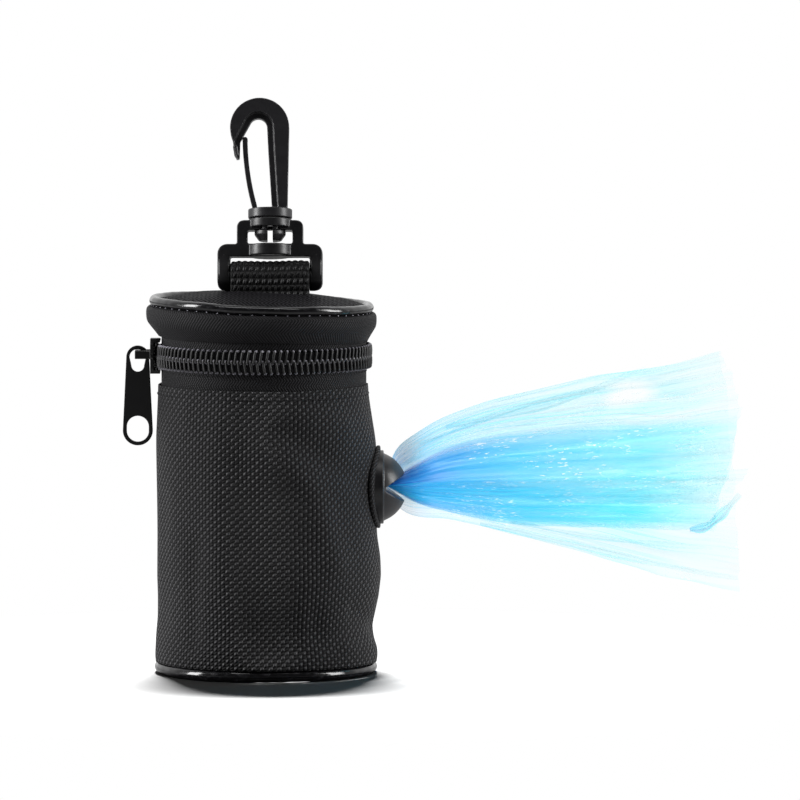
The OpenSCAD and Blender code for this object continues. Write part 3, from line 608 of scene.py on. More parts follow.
def threads(name, centres, directions, length, radius):
    """Stitches: each a short round thread that dips at both ends, its radius
    sqrt(1 - t^6) along its length from t = -1 to 1."""
    sides = 6
    t = np.linspace(-1, 1, 7)
    turn = circle(sides)
    centres, directions = np.asarray(centres, float), np.asarray(directions, float)
    directions = directions / np.linalg.norm(directions, axis=1, keepdims=True)
    outward = centres * [1.0, 1.0, 0.0]
    outward = outward / np.maximum(np.linalg.norm(outward, axis=1, keepdims=True), 1e-9)
    across = np.cross(directions, outward)
    line = centres[:, None] + directions[:, None] * (t * length / 2)[None, :, None]
    line = line - outward[:, None] * (0.5 * radius * t ** 4)[None, :, None]
    size = radius * np.sqrt(np.maximum(1 - t ** 6, 0.0))
    ring = (outward[:, None, None] * np.cos(turn)[None, None, :, None]
            + across[:, None, None] * np.sin(turn)[None, None, :, None])
    points = line[:, :, None] + ring * size[None, :, None, None]
    rows = len(centres) * len(t)
    linked = np.arange(rows - 1) % len(t) == len(t) - 1
    flat = cloth_map(np.tile(t * length / 2, len(centres)), np.linspace(0, 1, sides + 1))
    piece = skin(name, points.reshape(rows, sides, 3), flat, round_v=True, flip=True,
                 keep=lambda corner: np.repeat(~linked[:, None], sides, 1))
    return close_ends(piece)


def moulded(node, voxel, rounds, material):
    """Rounds a solid's sharp edges as a mould leaves them: its surface is remade from small cubes
    of the voxel's size and smoothed a few rounds."""
    solid = frame["nodes"][node]
    solid.modifiers.new("joined", "WELD").merge_threshold = 1e-6
    cubes = solid.modifiers.new("cubes", "REMESH")
    cubes.mode = "VOXEL"
    cubes.voxel_size = voxel * MM
    cubes.use_smooth_shade = True
    eased = solid.modifiers.new("eased", "SMOOTH")
    eased.factor = 0.5
    eased.iterations = rounds
    paint(node, material)


def paint(node, material):
    """Gives a solid its finish."""
    solid = frame["nodes"][node]
    solid.data.materials.clear()
    solid.data.materials.append(material)


# ---- Pouch ----

def at_mark(px, py):
    """Arc length from the front line and height, in millimetres, of a mark on the wall seen from
    the front at 4 marks to a millimetre."""
    x = np.clip((px - 264) / 4, -27.2, 27.2)
    phi = math.asin(x / WALL_R)
    return WALL_R * phi, (673.5 + 8 * math.cos(phi) - py) / 4


# Folds of the wall: their lines, depth in millimetres (ridges are positive) and half width
FOLDS = (
    (((250, 402), (244, 470), (250, 560), (268, 655)), -1.05, 4.8),
    (((226, 404), (218, 470), (220, 560), (234, 655)), 0.55, 4.4),
    (((262, 446), (312, 488), (334, 560)), 0.90, 4.0),
    (((284, 434), (322, 456), (364, 484)), -0.85, 3.4),
    (((300, 405), (345, 425)), 0.60, 4.0),
    (((268, 505), (278, 560), (292, 650)), -0.80, 6.0),
    (((317, 615), (318, 635)), -0.45, 2.4),
    (((352, 612), (372, 626)), -0.60, 2.4),
    (((346, 646), (374, 650)), 0.50, 2.4),
    (((196, 545), (193, 640)), -0.40, 2.6),
    (((208, 600), (212, 650)), 0.35, 3.0),
    (((170, 450), (166, 560)), 0.20, 4.0),
)


# Soft dents and slanting creases round the back: two places by azimuth and height, depth, width
BACK_FOLDS = (
    (((0.95, 60), (1.15, 30)), -0.7, 4),
    (((1.6, 40), (1.75, 12)), -0.6, 5),
    (((2.3, 62), (2.6, 44)), 0.5, 4),
    (((3.6, 50), (3.5, 14)), -0.5, 5),
)

# Height of the wall, its outer radius on the left and on the right
WALL_SIDES = np.array([
    (2.4, 27.0, 28.2), (4.4, 27.2, 28.5), (6.9, 27.1, 28.1), (9.4, 27.0, 27.5),
    (11.9, 26.8, 27.2), (14.4, 26.6, 27.7), (19.4, 26.6, 28.7), (24.4, 26.8, 29.2),
    (29.4, 26.8, 29.0), (34.4, 26.8, 28.4), (46.0, 26.9, 28.05), (56.9, 27.0, 27.85),
    (59.4, 27.0, 27.5), (64.4, 26.8, 26.9), (69.4, 26.6, 26.2), (72.4, 26.5, 26.0)])


def fold_height(s, z, line, depth, width):
    """Depth of one fold: depth exp(-(distance to its line / width)^2)."""
    marks = np.array([at_mark(*mark) for mark in line])
    away = np.full(np.broadcast(s, z).shape, 1e3)
    for (s0, z0), (s1, z1) in zip(marks, marks[1:]):
        along = np.array([s1 - s0, z1 - z0])
        t = np.clip(((s - s0) * along[0] + (z - z0) * along[1]) / (along @ along), 0, 1)
        away = np.minimum(away, np.hypot(s - s0 - t * along[0], z - z0 - t * along[1]))
    return depth * np.exp(-(away / width) ** 2)


def wall_radius(angle, z):
    """Outer radius of the cloth wall: one curve of the height for the left side and one for the
    right, blended by the cosine of the angle, with the folds on top of it."""
    heights, left, right = WALL_SIDES.T
    weight = 0.5 + 0.5 * np.cos(angle)
    r = np.interp(z, heights, left) * (1 - weight) + np.interp(z, heights, right) * weight
    s = WALL_R * (np.mod(angle - FRONT + math.pi, TAU) - math.pi)
    fade = np.clip((WALL_HIGH_Z - z) / 6, 0, 1) * np.clip((z - 2.4) / 5, 0, 1)
    for fold in FOLDS:
        r = r + fade * fold_height(s, z, *fold)
    for ((a0, z0), (a1, z1)), depth, width in BACK_FOLDS:
        t = np.clip((z - z0) / (z1 - z0), 0, 1)
        off = WALL_R * (np.mod(angle - a0 - (a1 - a0) * t + math.pi, TAU) - math.pi)
        past = np.maximum(np.maximum(z - z0, z1 - z), 0)
        r = r + fade * depth * np.exp(-(np.hypot(off, past) / width) ** 2)
    # The cloth is plain and round about the outlet's rubber
    off = np.hypot(27.5 * np.sin(angle), z - OUTLET_Z)
    outlet = np.exp(-((off / 13.0) ** 4)) * (np.cos(angle) > 0)
    return r * (1 - outlet) + 28.0 * outlet


def smooth_columns(points, rounds):
    """Evens a round grid of points a little along its height, its ends held."""
    for _ in range(rounds):
        points[:, 1:-1] = 0.5 * points[:, 1:-1] + 0.25 * (points[:, :-2] + points[:, 2:])
    return points


def clear_of_outlet(hole):
    """Says which faces stay when a round hole is cut for the outlet."""
    def stays(corner):
        off = np.hypot(corner[..., 1], corner[..., 2] - OUTLET_Z)
        return (off > hole) | (corner[..., 0] < 0)
    return stays


def make_wall(cloth, lining_cloth):
    """The cloth wall and its thin lining, each with the outlet's hole."""
    steps, rows = 350, 138
    angle = circle(steps)[:, None]
    z = np.linspace(WALL_LOW_Z, WALL_HIGH_Z, rows)[None, :] + 0 * angle
    r = wall_radius(angle, z) + ripple(angle, z, 5, 0.16)
    r = np.maximum(r, 25.9)
    z = z + ripple(angle, z, 9, 0.18) * np.clip((z - 60) / 12, 0, 1)
    points = smooth_columns(turned(r, angle, z), 3)
    flat = cloth_map(np.linspace(0, TAU * WALL_R, steps + 1),
                     np.linspace(WALL_LOW_Z, WALL_HIGH_Z, rows))
    wall = skin("wall", points, flat, round_u=True, keep=clear_of_outlet(7.6))
    fit(thicken(wall, 0.3), cloth, "pouch", "wall_fabric", "wall_panel")

    steps, rows, top = 240, 60, 71.6
    angle = circle(steps)[:, None]
    z = np.linspace(WALL_LOW_Z, top, rows)[None, :] + 0 * angle
    r = np.minimum(wall_radius(angle, z) - 0.75 + ripple(angle, z, 31, 0.1), 27.2)
    r = np.maximum(r, np.where(z > 68, 25.68, 25.4))
    flat = cloth_map(np.linspace(0, TAU * 27, steps + 1), np.linspace(WALL_LOW_Z, top, rows))
    lining = skin("wall_lining", turned(r, angle, z), flat, round_u=True, keep=clear_of_outlet(7.5))
    fit(thicken(lining, 0.2), lining_cloth, "pouch", "wall_fabric")


def patch_ring(name, inner, outer, base, thick, seed):
    """Round patch with a hole, wrapped on the wall: an oval section carried round the outlet, its
    middle line on the cylinder x = sqrt(R R - y y)."""
    turn = circle(120)[:, None]
    loop = circle(20)[None, :]
    ct, st = np.cos(loop), np.sin(loop)
    rho = (inner + outer) / 2 + (outer - inner) / 2 * bent(ct, 0.55)
    lift = thick / 2 * (1 + bent(st, 0.55))
    rho = rho + 0.08 * np.sin(5 * turn + seed)
    y, z = rho * np.sin(turn), OUTLET_Z + rho * np.cos(turn)
    x = np.sqrt(np.maximum((base + lift) ** 2 - y * y, 1.0))
    flat = cloth_map(np.linspace(0, TAU * 9, 121), np.linspace(0, 6, 21))
    return skin(name, np.stack([x, y, z], -1), flat, round_u=True, round_v=True, flip=True)


# ---- Lid ----

def lid_lean(x):
    """How far the sewn lid stands up on its left side and down on its right."""
    return -0.036 * x


def lid_bead_height(angle):
    return (LID_BEAD_Z + lid_lean(27 * np.cos(angle)) + 0.08 * np.sin(5 * angle + 0.6)
            + 0.04 * np.sin(11 * angle))


def lid_bead_radius(angle):
    return LID_BEAD_X + LID_SHIFT * np.cos(angle) + 0.07 * np.sin(6 * angle + 1.2)


def lid_dome(x, y):
    """Height of the lid's cloth: a low crown, lifted a little by the webbing, with one dent."""
    rim = 1 - (x * x + y * y) / LID_R ** 2
    crown = 3.2 * np.maximum(rim, 0) ** 0.60
    pull = 0.5 * np.exp(-(((x - LOOP_X) / 10.5) ** 4 + (np.abs(y) / 7.0) ** 4))
    dent = 0.35 * np.exp(-(((x - 15) / 6) ** 2 + ((y + 12) / 7) ** 2))
    waves = 0.1 * np.sin(0.35 * x + 1) * np.sin(0.3 * y)
    return 92.35 + crown + pull * 0.3 - dent + lid_lean(x) + waves


def make_lid(cloth, tape, vinyl, binding):
    """Domed panel, glossy piping and the band that bulges out and tucks in over the zip."""
    panel = thicken(disc("lid_top", LID_R, lid_dome, 90), 0.8)
    fit(panel, cloth, "lid", "lid_fabric", "lid_panel")
    bead = bead_ring("lid_bead", lid_bead_radius, lid_bead_height, LID_BEAD_R)
    fit(bead, vinyl, "lid", "piping_vinyl", "lid_piping")

    # Radius by height of the band's profile, from its lower edge up to the piping
    marks = np.array([[25.9, 0.0], [26.1, 0.3], [26.9, 1.4], [27.75, 2.5], [28.5, 3.5],
                      [28.75, 4.5], [28.8, 5.6], [28.75, 6.7], [28.3, 7.3], [26.9, 7.5]])
    steps, rows = 400, 33
    along = np.linspace(0, len(marks) - 1, rows)
    r0, h = (np.interp(along, np.arange(len(marks)), part)[None, :] for part in marks.T)
    angle = circle(steps)[:, None]
    side = np.cos(angle)
    top = lid_bead_height(angle) - 1.15
    low = 84.35 + np.where(side > 0, -1.2, 0.35) * np.abs(side) ** 1.5
    z = low + (top - low) * h / marks[-1, 1]
    rise = np.clip(h / 3, 0, 1)
    r = (r0 + LID_SHIFT * side * rise + ripple(angle, z, 12, 0.12)
         + 0.45 * np.clip(-side, 0, 1) * (1 - rise))
    points = smooth_columns(turned(r, angle, z), 3)
    flat = cloth_map(np.linspace(0, TAU * 28.4, steps + 1), np.linspace(0, 9.6, rows))
    band = thicken(skin("lid_band_cloth", points, flat, round_u=True), 0.7)
    fit(band, tape, "lid", "band_tape", "lid_band")

    inner = ribbon("lid_seam_binding", 26.0, 87.4, 90.6, 0, 360, 0.15, 44)
    fit(thicken(inner, 0.5), binding, "lid", "band_tape", "lid_binding")


def make_webbing(material):
    """Webbing: it rises through the lid, rounds the swivel's bar and goes back down, and its ends
    fold out flat inside. Its section is a flat oval carried along that path; its yarns stand up as
    humps |sin(pi x / 1.56) sin(pi s / 1.6)|, with neighbouring rows half a hump apart."""
    r, t, width = 3.3, 1.6, 19.7
    low = 89.9
    arc = np.radians(np.linspace(0, 180, 48))
    leg = np.linspace(low + 1.0, BAR_Z, 40)
    tab = np.linspace(r + 6.4, r + 1.0, 18)
    corner = np.radians(np.linspace(-90, 0, 8))[1:-1]
    half_y = np.concatenate([tab, r + 1.0 - np.cos(corner), np.full(len(leg), r)])
    half_z = np.concatenate([np.full(len(tab), low), low + (1 + np.sin(corner)), leg])
    y = np.concatenate([half_y, r * np.cos(arc[1:-1]), -half_y[::-1]])
    z = np.concatenate([half_z, BAR_Z + 1.18 * r * np.sin(arc[1:-1]), half_z[::-1]])
    step = np.hypot(np.diff(y), np.diff(z))
    s = np.concatenate([[0], np.cumsum(step)])
    even = np.linspace(0, s[-1], 300)
    y, z = np.interp(even, s, y), np.interp(even, s, z)
    tangent = np.stack([np.gradient(y), np.gradient(z)], -1)
    tangent /= np.linalg.norm(tangent, axis=1, keepdims=True)
    normal = np.stack([tangent[:, 1], -tangent[:, 0]], -1)
    half = 70
    across = np.concatenate([np.linspace(-1, 1, half), np.linspace(1, -1, half)[1:-1]])
    face = np.concatenate([np.ones(half), -np.ones(half - 2)])
    thick = t / 2 * (1 - np.abs(across) ** 8 * 0.55) * face
    thick[0] = thick[half - 1] = 0.0
    x = across * width / 2
    su, xv = even[:, None], x[None, :]
    hump = np.abs(np.sin(math.pi * xv / 1.56 + math.pi / 2 * np.sign(np.sin(math.pi * su / 1.6))))
    relief = (0.26 * (hump * np.abs(np.sin(math.pi * su / 1.6)) - 0.5) * face[None, :]
              * np.clip((1 - np.abs(across[None, :])) * 14, 0, 1))
    off = thick[None, :] + relief
    off[[0, -1]] = 0.0
    # Slack lets the top of the loop sag a little between the sides of the buckle
    sag = 0.28 * np.cos(xv / width * math.pi + 0.3) * np.exp(-((su - s[-1] / 2) / 7) ** 2)
    points = np.stack([LOOP_X + xv + 0 * su, y[:, None] + off * normal[:, :1],
                       z[:, None] + off * normal[:, 1:] - sag], -1)
    flat = cloth_map(even, np.concatenate([x, [x[0]]]))
    strap = close_ends(skin("webbing_loop", points, flat, round_v=True))
    return fit(strap, material, "lid", "webbing", "strap_loop")


def lean_back(points):
    """Leans points with the swivel, about its bar."""
    x, y, rise = points[..., 0], points[..., 1], points[..., 2] - BAR_Z
    return np.stack([x, y * math.cos(LEAN) + rise * math.sin(LEAN),
                     BAR_Z - y * math.sin(LEAN) + rise * math.cos(LEAN)], -1)


def make_cheek(name, side, material):
    """Smooth cheek of the buckle: its half depth is that of the round bar end, sqrt(9 - z z), below
    the bar and eases into the flat plate above it, 0.5 (1 + cos), and its section is a rounded
    oblong that narrows at its lower corner."""
    rise = np.concatenate([-3.0 * np.cos(np.linspace(0.02, math.pi / 2, 14)),
                           np.linspace(0.3, 6.0, 22), [6.1]])
    deep = np.where(rise < 0, np.sqrt(np.maximum(9 - rise ** 2, 0)) + 0.04,
                    2.30 + 0.74 * (0.5 + 0.5 * np.cos(math.pi * np.clip(rise / 6, 0, 1))))
    drop = np.maximum(-0.7 - rise, 0)
    outer = 13.1 - (2.3 - np.sqrt(np.maximum(2.3 ** 2 - drop ** 2, 0)))
    inner = np.full(len(rise), 9.97)
    size = np.ones(len(rise))
    size[0] = size[-1] = 0.0
    loop = circle(40)
    ct, st = np.cos(loop), np.sin(loop)
    wide, thick = bent(ct, 0.35), bent(st, 0.45)
    x = (inner + outer)[:, None] / 2 + ((outer - inner) * size)[:, None] / 2 * wide
    y = (deep * size)[:, None] * thick
    points = np.stack([LOOP_X + side * x, y, BAR_Z + rise[:, None] + 0 * x], -1)
    flat = cloth_map(rise, np.linspace(0, 16, 41))
    cheek = skin(name, lean_back(points), flat, round_v=True, flip=side > 0)
    return fit(close_ends(cheek), material, "swivel", "black_acetal")


def make_nose(material):
    """Blunt finger at the hook's tip: a flat oval carried down a short line, its size
    sqrt(1 - q q) over the last part of each end."""
    top, tip, half = np.array([-7.2, 33.9]), np.array([-6.62, 30.45]), 1.75
    along = np.linspace(-1, 1, 30)
    start = 1 - 0.72 / half
    q = np.clip((np.abs(along) - start) / (1 - start), 0, 1)
    size = np.sqrt(1 - q * q)
    line = (top + tip) / 2 + (tip - top) / 2 * along[:, None]
    loop = circle(24)
    x = line[:, :1] + 0.70 * size[:, None] * np.cos(loop)
    y = 1.9 * size[:, None] ** 0.5 * bent(np.sin(loop), 0.6)
    points = lean_back(np.stack([x, y, BAR_Z + line[:, 1:] + 0 * x], -1))
    nose = skin("hook_nose", points, cloth_map(along, np.linspace(0, 8, 25)), round_v=True)
    return fit(close_ends(nose), material, "hook", "black_acetal")


# ---- Zip ----

def coil_strand(name, side):
    """One coil: a flattened helix. In each turn the filament crosses the front of the tape from its
    back edge to its head, rounds the head and returns behind: z goes as -cos, the distance
    from the tape as sin, and the place along the zip grows by one pitch."""
    mean_r = TAPE_OUT_R + 0.75
    step = COIL_PITCH / mean_r
    turns = int(math.radians(COIL_END - COIL_START) / step)
    per_turn = 16
    phase = np.linspace(0, turns * TAU, turns * per_turn + 1)
    out = 0.40 * bent(np.sin(phase), 0.55)
    rise = np.cos(phase)
    z = ZIP_Z + side * (1.24 - 1.53 * bent(rise, 0.8))
    shift = 0 if side > 0 else 0.5
    angle = math.radians(COIL_START) + step * (phase / TAU + shift)
    path = turned(mean_r + out, angle, z)
    level, up = frames_along(path)
    turn = circle(6)
    size = np.full(len(path), 0.37) * (1 + 0.12 * (rise > 0.75))
    size[0] = size[-1] = 0.0
    ring = level[:, None] * np.cos(turn)[None, :, None] + up[:, None] * np.sin(turn)[None, :, None]
    points = path[:, None] + ring * size[:, None, None]
    flat = cloth_map(phase, np.linspace(0, 1, 7))
    return close_ends(skin(name, points, flat, round_v=True))


def seam_row(name, radius, height, start, end, spacing, length, thick, sink, material, body, slot):
    """Row of level stitches round the pouch; radius and height are functions of the angle."""
    reach = math.radians(end - start) * 27
    angle = np.radians(start) + np.arange(int(reach / spacing)) * spacing / 27
    centres = turned(radius(angle) - sink, angle, height(angle))
    directions = np.stack([-np.sin(angle), np.cos(angle), 0 * angle], -1)
    return fit(threads(name, centres, directions, length, thick), material, body, slot)


# ---- Film ----

def curve(marks, t):
    """A smooth line through marks (x, z): a cubic through each span, eased at its ends."""
    marks = np.asarray(marks, float)
    s = np.concatenate([[0], np.cumsum(np.hypot(*np.diff(marks, axis=0).T))])
    s /= s[-1]
    slope = np.gradient(marks, s, axis=0)
    k = np.clip(np.searchsorted(s, t, side="right") - 1, 0, len(s) - 2)
    h = (s[k + 1] - s[k])
    q = ((t - s[k]) / h)[:, None]
    h = h[:, None]
    return ((1 + 2 * q) * (1 - q) ** 2 * marks[k] + q * (1 - q) ** 2 * h * slope[k]
            + q * q * (3 - 2 * q) * marks[k + 1] + q * q * (q - 1) * h * slope[k + 1])


# Curves (x, z) that leave the throat, and where the bag's pleats fan out from
ROOT = (30.4, 46.9)
UPPER = (ROOT, (33.0, 55.2), (40.0, 61.3), (54.0, 67.5), (68.0, 71.0), (82.0, 74.2), (99.8, 76.7),
         (114.5, 80.4))
LOWER = (ROOT, (33.6, 41.0), (47.0, 38.4), (61.0, 35.2), (82.3, 29.3), (103.3, 23.3), (119.8, 19.9))
CORE_UP = (ROOT, (36.0, 51.0), (44.0, 55.6), (56.0, 59.4), (78.0, 62.2), (100.0, 63.6),
           (119.4, 66.4))
CORE_LOW = (ROOT, (36.5, 43.2), (47.0, 40.2), (61.0, 37.6), (84.0, 36.6), (102.0, 36.0),
            (112.5, 35.6))
MID = (ROOT, (38.0, 47.6), (56.0, 48.6), (86.0, 49.6), (121.0, 51.4))


GATHER_X, PLEAT_START, PLEAT_STEP = -10.08, -12, 4.6


def pleat_side(x, z):
    """How far the bag's pleats stand to the side: they fan out from a point behind the axis, as a
    rounded zigzag over the angle that grows with the distance from that point."""
    away = np.hypot(x - GATHER_X, z - OUTLET_Z)
    turn = (np.degrees(np.arctan2(z - OUTLET_Z, x - GATHER_X)) - PLEAT_START) / PLEAT_STEP
    return 0.0228 * away * np.arcsin(0.96 * np.cos(math.pi * turn)) / 1.29


def film_fan(name, low, high, back, pleats, seed, depth):
    """One panel of the bag between two curves that leave the throat. It follows the bag's pleats;
    smaller ones are sines of the share v with fixed phases, whose depth grows along the length, and
    crumples spread near the mouth."""
    rows, cols, ragged = 150, 140, 0.45
    rng = np.random.default_rng(seed)
    u = np.linspace(0, 1, rows)
    v = np.linspace(0, 1, cols)
    lo, hi = curve(low, u), curve(high, u)
    flat = lo[:, None] * (1 - v)[None, :, None] + hi[:, None] * v[None, :, None]
    uu, vv = u[:, None], v[None, :]
    y = np.zeros((rows, cols))
    for n in pleats:
        y += np.sin(TAU * n * vv + rng.uniform(0, TAU) + 1.3 * uu * rng.uniform(-1, 1)) / n ** 0.8
    grow = depth * np.clip(uu, 0, 1) ** 0.8
    crumple = np.zeros_like(y)
    for _ in range(22):
        fu, fv = rng.uniform(4, 17), rng.uniform(3, 15)
        wave = fu * uu * 0.5 + fv * vv * rng.choice([-1, 1]) * 0.6
        crumple += np.sin(TAU * wave + rng.uniform(0, TAU))
    crumple *= 0.09 * np.clip((uu - 0.25) * 1.6, 0, 1)
    pleat = pleat_side(flat[..., 0], flat[..., 1]) * np.clip(uu * 2.2, 0, 1)
    y = y * grow + crumple * depth * 0.7 + pleat
    # Behind the dome the plies leave the groove's far end and pass round the lips
    far = (np.exp(-((flat[..., 0] - 31.5) / 5.0) ** 2)
           * np.clip(np.abs(flat[..., 1] - ROOT[1]) / 5.0, 0, 1))
    y = y * (1 - far) + far * (9.4 + 0.4 * back)
    edge = np.zeros(cols)
    for n in (1, 2, 3, 5, 8, 13):
        edge += rng.uniform(0.3, 1.0) * np.sin(TAU * n * v + rng.uniform(0, TAU)) / n ** 0.5
    x = flat[..., 0] + ragged * edge[None, :] * uu ** 6
    z = flat[..., 1] + 0.35 * crumple
    points = np.stack([x, y + back * np.clip(uu * 3, 0, 1), z], -1)
    return skin(name, points, cloth_map(u, v))


def fan_fold(name, path, width, seed):
    """A loose fold of film on the fan: a narrow strip with a rolled section carried along a
    path."""
    steps, cols, turns, back = 60, 16, 1.3, -1.0
    rng = np.random.default_rng(seed)
    line = curve(path, np.linspace(0, 1, steps))
    across = np.linspace(-1, 1, cols)
    tangent = np.gradient(line, axis=0)
    tangent /= np.linalg.norm(tangent, axis=1, keepdims=True)
    normal = np.stack([-tangent[:, 1], tangent[:, 0]], -1)
    size = width * (0.35 + 0.65 * np.sin(math.pi * np.linspace(0.03, 0.97, steps)) ** 0.6)
    wobble = 1 + 0.25 * np.sin(np.linspace(0, 15, steps) + rng.uniform(0, 6))
    off = across[None, :] * (size * wobble)[:, None]
    x = line[:, :1] + off * normal[:, :1]
    z = line[:, 1:] + off * normal[:, 1:]
    roll = 0.7 * np.cos(across * math.pi * turns)[None, :] * (size / width)[:, None]
    points = np.stack([x, back + roll + pleat_side(x, z), z], -1)
    return skin(name, points, cloth_map(np.linspace(0.45, 1, steps), np.linspace(0.02, 0.98, cols)))


def make_lead(material):
    """Film between the roll and the slit: it leaves the roll at its full height and gathers into
    the throat in waves of the share across it."""
    along, across = np.linspace(0, 1, 40)[:, None], np.linspace(0, 1, 50)
    (x0, y0), (x1, y1), z0 = (11.6, -14.2), (23.6, -2.2), 43
    x = x0 + (x1 - x0) * along + 0 * across
    z = z0 + (OUTLET_Z - z0) * along + (across[None, :] - 0.5) * (24 * (1 - along) + 1.2)
    waves = 0.9 * np.sin(TAU * 7 * across + 1) + 0.5 * np.sin(TAU * 12 * across)
    y = y0 + (y1 - y0) * along + waves[None, :] * along ** 0.6
    lead = skin("bag_neck", np.stack([x, y, z], -1), cloth_map(along[:, 0] * 0.2, across))
    fit(lead, material, "pouch", "blue_film", "film_lead")


def make_roll(material):
    """The roll: its side and ends as one profile turned about its axis, with the plies' ridges on
    its ends."""
    end_r = np.linspace(CORE_R + 0.1, ROLL_R - 0.3, 26)
    low, high = ROLL_Z + 0.5, ROLL_Z + ROLL_L - 0.5
    profile = np.concatenate([
        np.stack([end_r, low + 0.15 * np.sin(end_r * 5)], -1),
        np.stack([ROLL_R - 0.1 + 0.12 * np.sin(np.linspace(0, 40, 40)),
                  np.linspace(low + 0.6, high - 0.6, 40)], -1),
        np.stack([end_r[::-1], high + 0.15 * np.sin(end_r[::-1] * 5)], -1),
        np.stack([np.full(8, CORE_R + 0.05), np.linspace(high, low, 8)], -1)])
    spin = circle(120)[:, None]
    r, z = profile[None, :, 0], profile[None, :, 1]
    points = turned(r + 0.12 * np.sin(3 * spin + 0.3 * z), spin, z)
    s = np.concatenate([[0], np.cumsum(np.hypot(*np.diff(profile, axis=0).T))])
    flat = cloth_map(np.linspace(0, TAU * ROLL_R, 121), np.append(s, s[-1] + 1))
    roll = skin("film_roll", points, flat, round_u=True, round_v=True)
    fit(roll, material, "roll", "blue_film_roll", "bag_roll")


# ---- Finishes ----

ballistic = woven_cloth("ballistic_cloth", wide=1.07, tall=0.93, dark=0.0016, light=0.0255,
                        depth=0.00058, slant=0.36)
patch_cloth = woven_cloth("patch_cloth", 0.62, 0.58, 0.003, 0.020, 0.00012)
lining_cloth = woven_cloth("lining_cloth", 0.36, 0.36, 0.010, 0.030, 0.00006)
webbing_cloth = woven_cloth("webbing_cloth", 1.6, 0.78, 0.0010, 0.009, 0.0004, weft_share=0.35,
                            wander=0.15, gloss=0.3, slant=-0.25)
lid_cloth = chevron_tape("lid_cloth", row=3.0, line=1.05, dark=0.0010, light=0.024, slope=0.5,
                         gloss=0.06, cord=0.8)
band_cloth = chevron_tape("band_cloth", 3.6, 0.80, 0.003, 0.018)
tape_cloth = chevron_tape("zip_tape_cloth", 1.5, 0.75, 0.002, 0.015)
binding_cloth = chevron_tape("binding_cloth", 1.2, 0.8, 0.010, 0.034)
vinyl = gloss_vinyl("piping_gloss")
nylon = coil_nylon()
acetal = moulded_plastic("black_acetal", 0.005, 0.014, 0.28)
hook_acetal = moulded_plastic("hook_acetal", 0.008, 0.026, 0.28)
enamel = painted_metal("pull_enamel", 0.003, 0.007, 0.42)
slider_paint = painted_metal("slider_enamel", 0.004, 0.012, 0.32)
rubber = soft_rubber()
board = grey_board("grey_board", (0.24, 0.19, 0.13), (0.46, 0.39, 0.29))
card = grey_board("core_card", (0.33, 0.25, 0.16), (0.58, 0.47, 0.33))
black_thread = twisted_thread("black_thread", grey(0.004), grey(0.014))
filler_cord = twisted_thread("filler_cord", grey(0.004), grey(0.016))
# Thread painted pale: it stands in for the small bright reflections on the lid's black stitches
pale_thread = twisted_thread("pale_thread", grey(0.35), grey(0.75))
roll_film = rolled_film()
wing_stops = ((0.0, (0.03, 0.40, 0.92)), (0.12, (0.04, 0.64, 1.0)), (0.5, (0.06, 0.82, 1.0)),
              (1.0, (0.12, 0.90, 1.0)))
core_stops = ((0.0, (0.005, 0.075, 0.38)), (0.05, (0.012, 0.19, 0.62)),
              (0.15, (0.025, 0.36, 0.86)), (0.40, (0.07, 0.67, 0.98)), (0.70, (0.12, 0.83, 1.0)),
              (1.0, (0.20, 0.92, 1.0)))
wing_film = blown_film("wing_film", wing_stops, cover=0.16, band=0.80, streak=0.18, near=0.34,
                       soft=0.0)
core_film = blown_film("core_film", core_stops, cover=0.46, band=0.45, streak=0.10, near=0.46,
                       soft=0.75)

# ---- Assembly ----

set_camera()

make_wall(ballistic, lining_cloth)

for name, low, high, seed, body, node in (
        ("zip_tape_low", TAPE_LOW_Z, 79.0, 3, "pouch", "zip_tape_lower"),
        ("zip_tape_high", 80.2, TAPE_HIGH_Z, 4, "lid", "zip_tape_upper")):
    zip_tape = ribbon(name, TAPE_OUT_R, low, high, ZIP_START, ZIP_END, 0.05, seed)
    fit(thicken(zip_tape, 0.55), tape_cloth, body, "zip_tape", node)
hinge = ribbon("hinge_cloth", TAPE_OUT_R, TAPE_LOW_Z, TAPE_HIGH_Z, *HINGE, 0.1, 6, rows=40,
               per_degree=2)
fit(thicken(hinge, 0.55), patch_cloth, None, "zip_tape", "hinge_panel")
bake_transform(hinge)

seam_inside = ribbon("wall_seam_strip", lambda a, z: wall_radius(a, z) - 1.25, 9.6, 66.0, 135, 149,
                     0.08, 7, rows=60, per_degree=2)
fit(thicken(seam_inside, 0.4), binding_cloth, "pouch", "band_tape", "wall_seam_tape")

fit(coil_strand("coil_low", -1), nylon, "pouch", "zip_coil", "zip_coil_lower")
fit(coil_strand("coil_high", 1), nylon, "lid", "zip_coil", "zip_coil_upper")

# The cord that runs inside each coil
for name, low, body in (("coil_cord_low", ZIP_Z - 2.35, "pouch"),
                        ("coil_cord_high", ZIP_Z + 0.45, "lid")):
    cord = ribbon(name, TAPE_OUT_R + 0.85, low, low + 1.9, COIL_START, COIL_END, 0.02, 15)
    fit(thicken(cord, 0.5), filler_cord, body, "zip_coil")

base_bead = bead_ring("base_bead", lambda a: 26.35 + 0.35 * np.cos(a) + 0.12 * np.sin(5 * a + 0.4),
                      lambda a: BASE_BEAD_R + 0.02 + 0.12 * np.maximum(np.sin(4 * a + 0.5), 0),
                      BASE_BEAD_R)
fit(base_bead, vinyl, "pouch", "piping_vinyl", "base_piping")
base_cloth = disc("base_cloth", 25.3,
                  lambda x, y: 0.5 + 0.15 * np.sin(0.21 * x) * np.sin(0.24 * y + 1), 60)
fit(thicken(base_cloth, 0.5, 1.0), lid_cloth, "pouch", "wall_fabric", "base_panel")
base_tape = ribbon("base_seam_binding", 25.2, 2.7, 6.0, 0, 360, 0.12, 8)
fit(thicken(base_tape, 0.5), binding_cloth, "pouch", "band_tape", "base_binding")

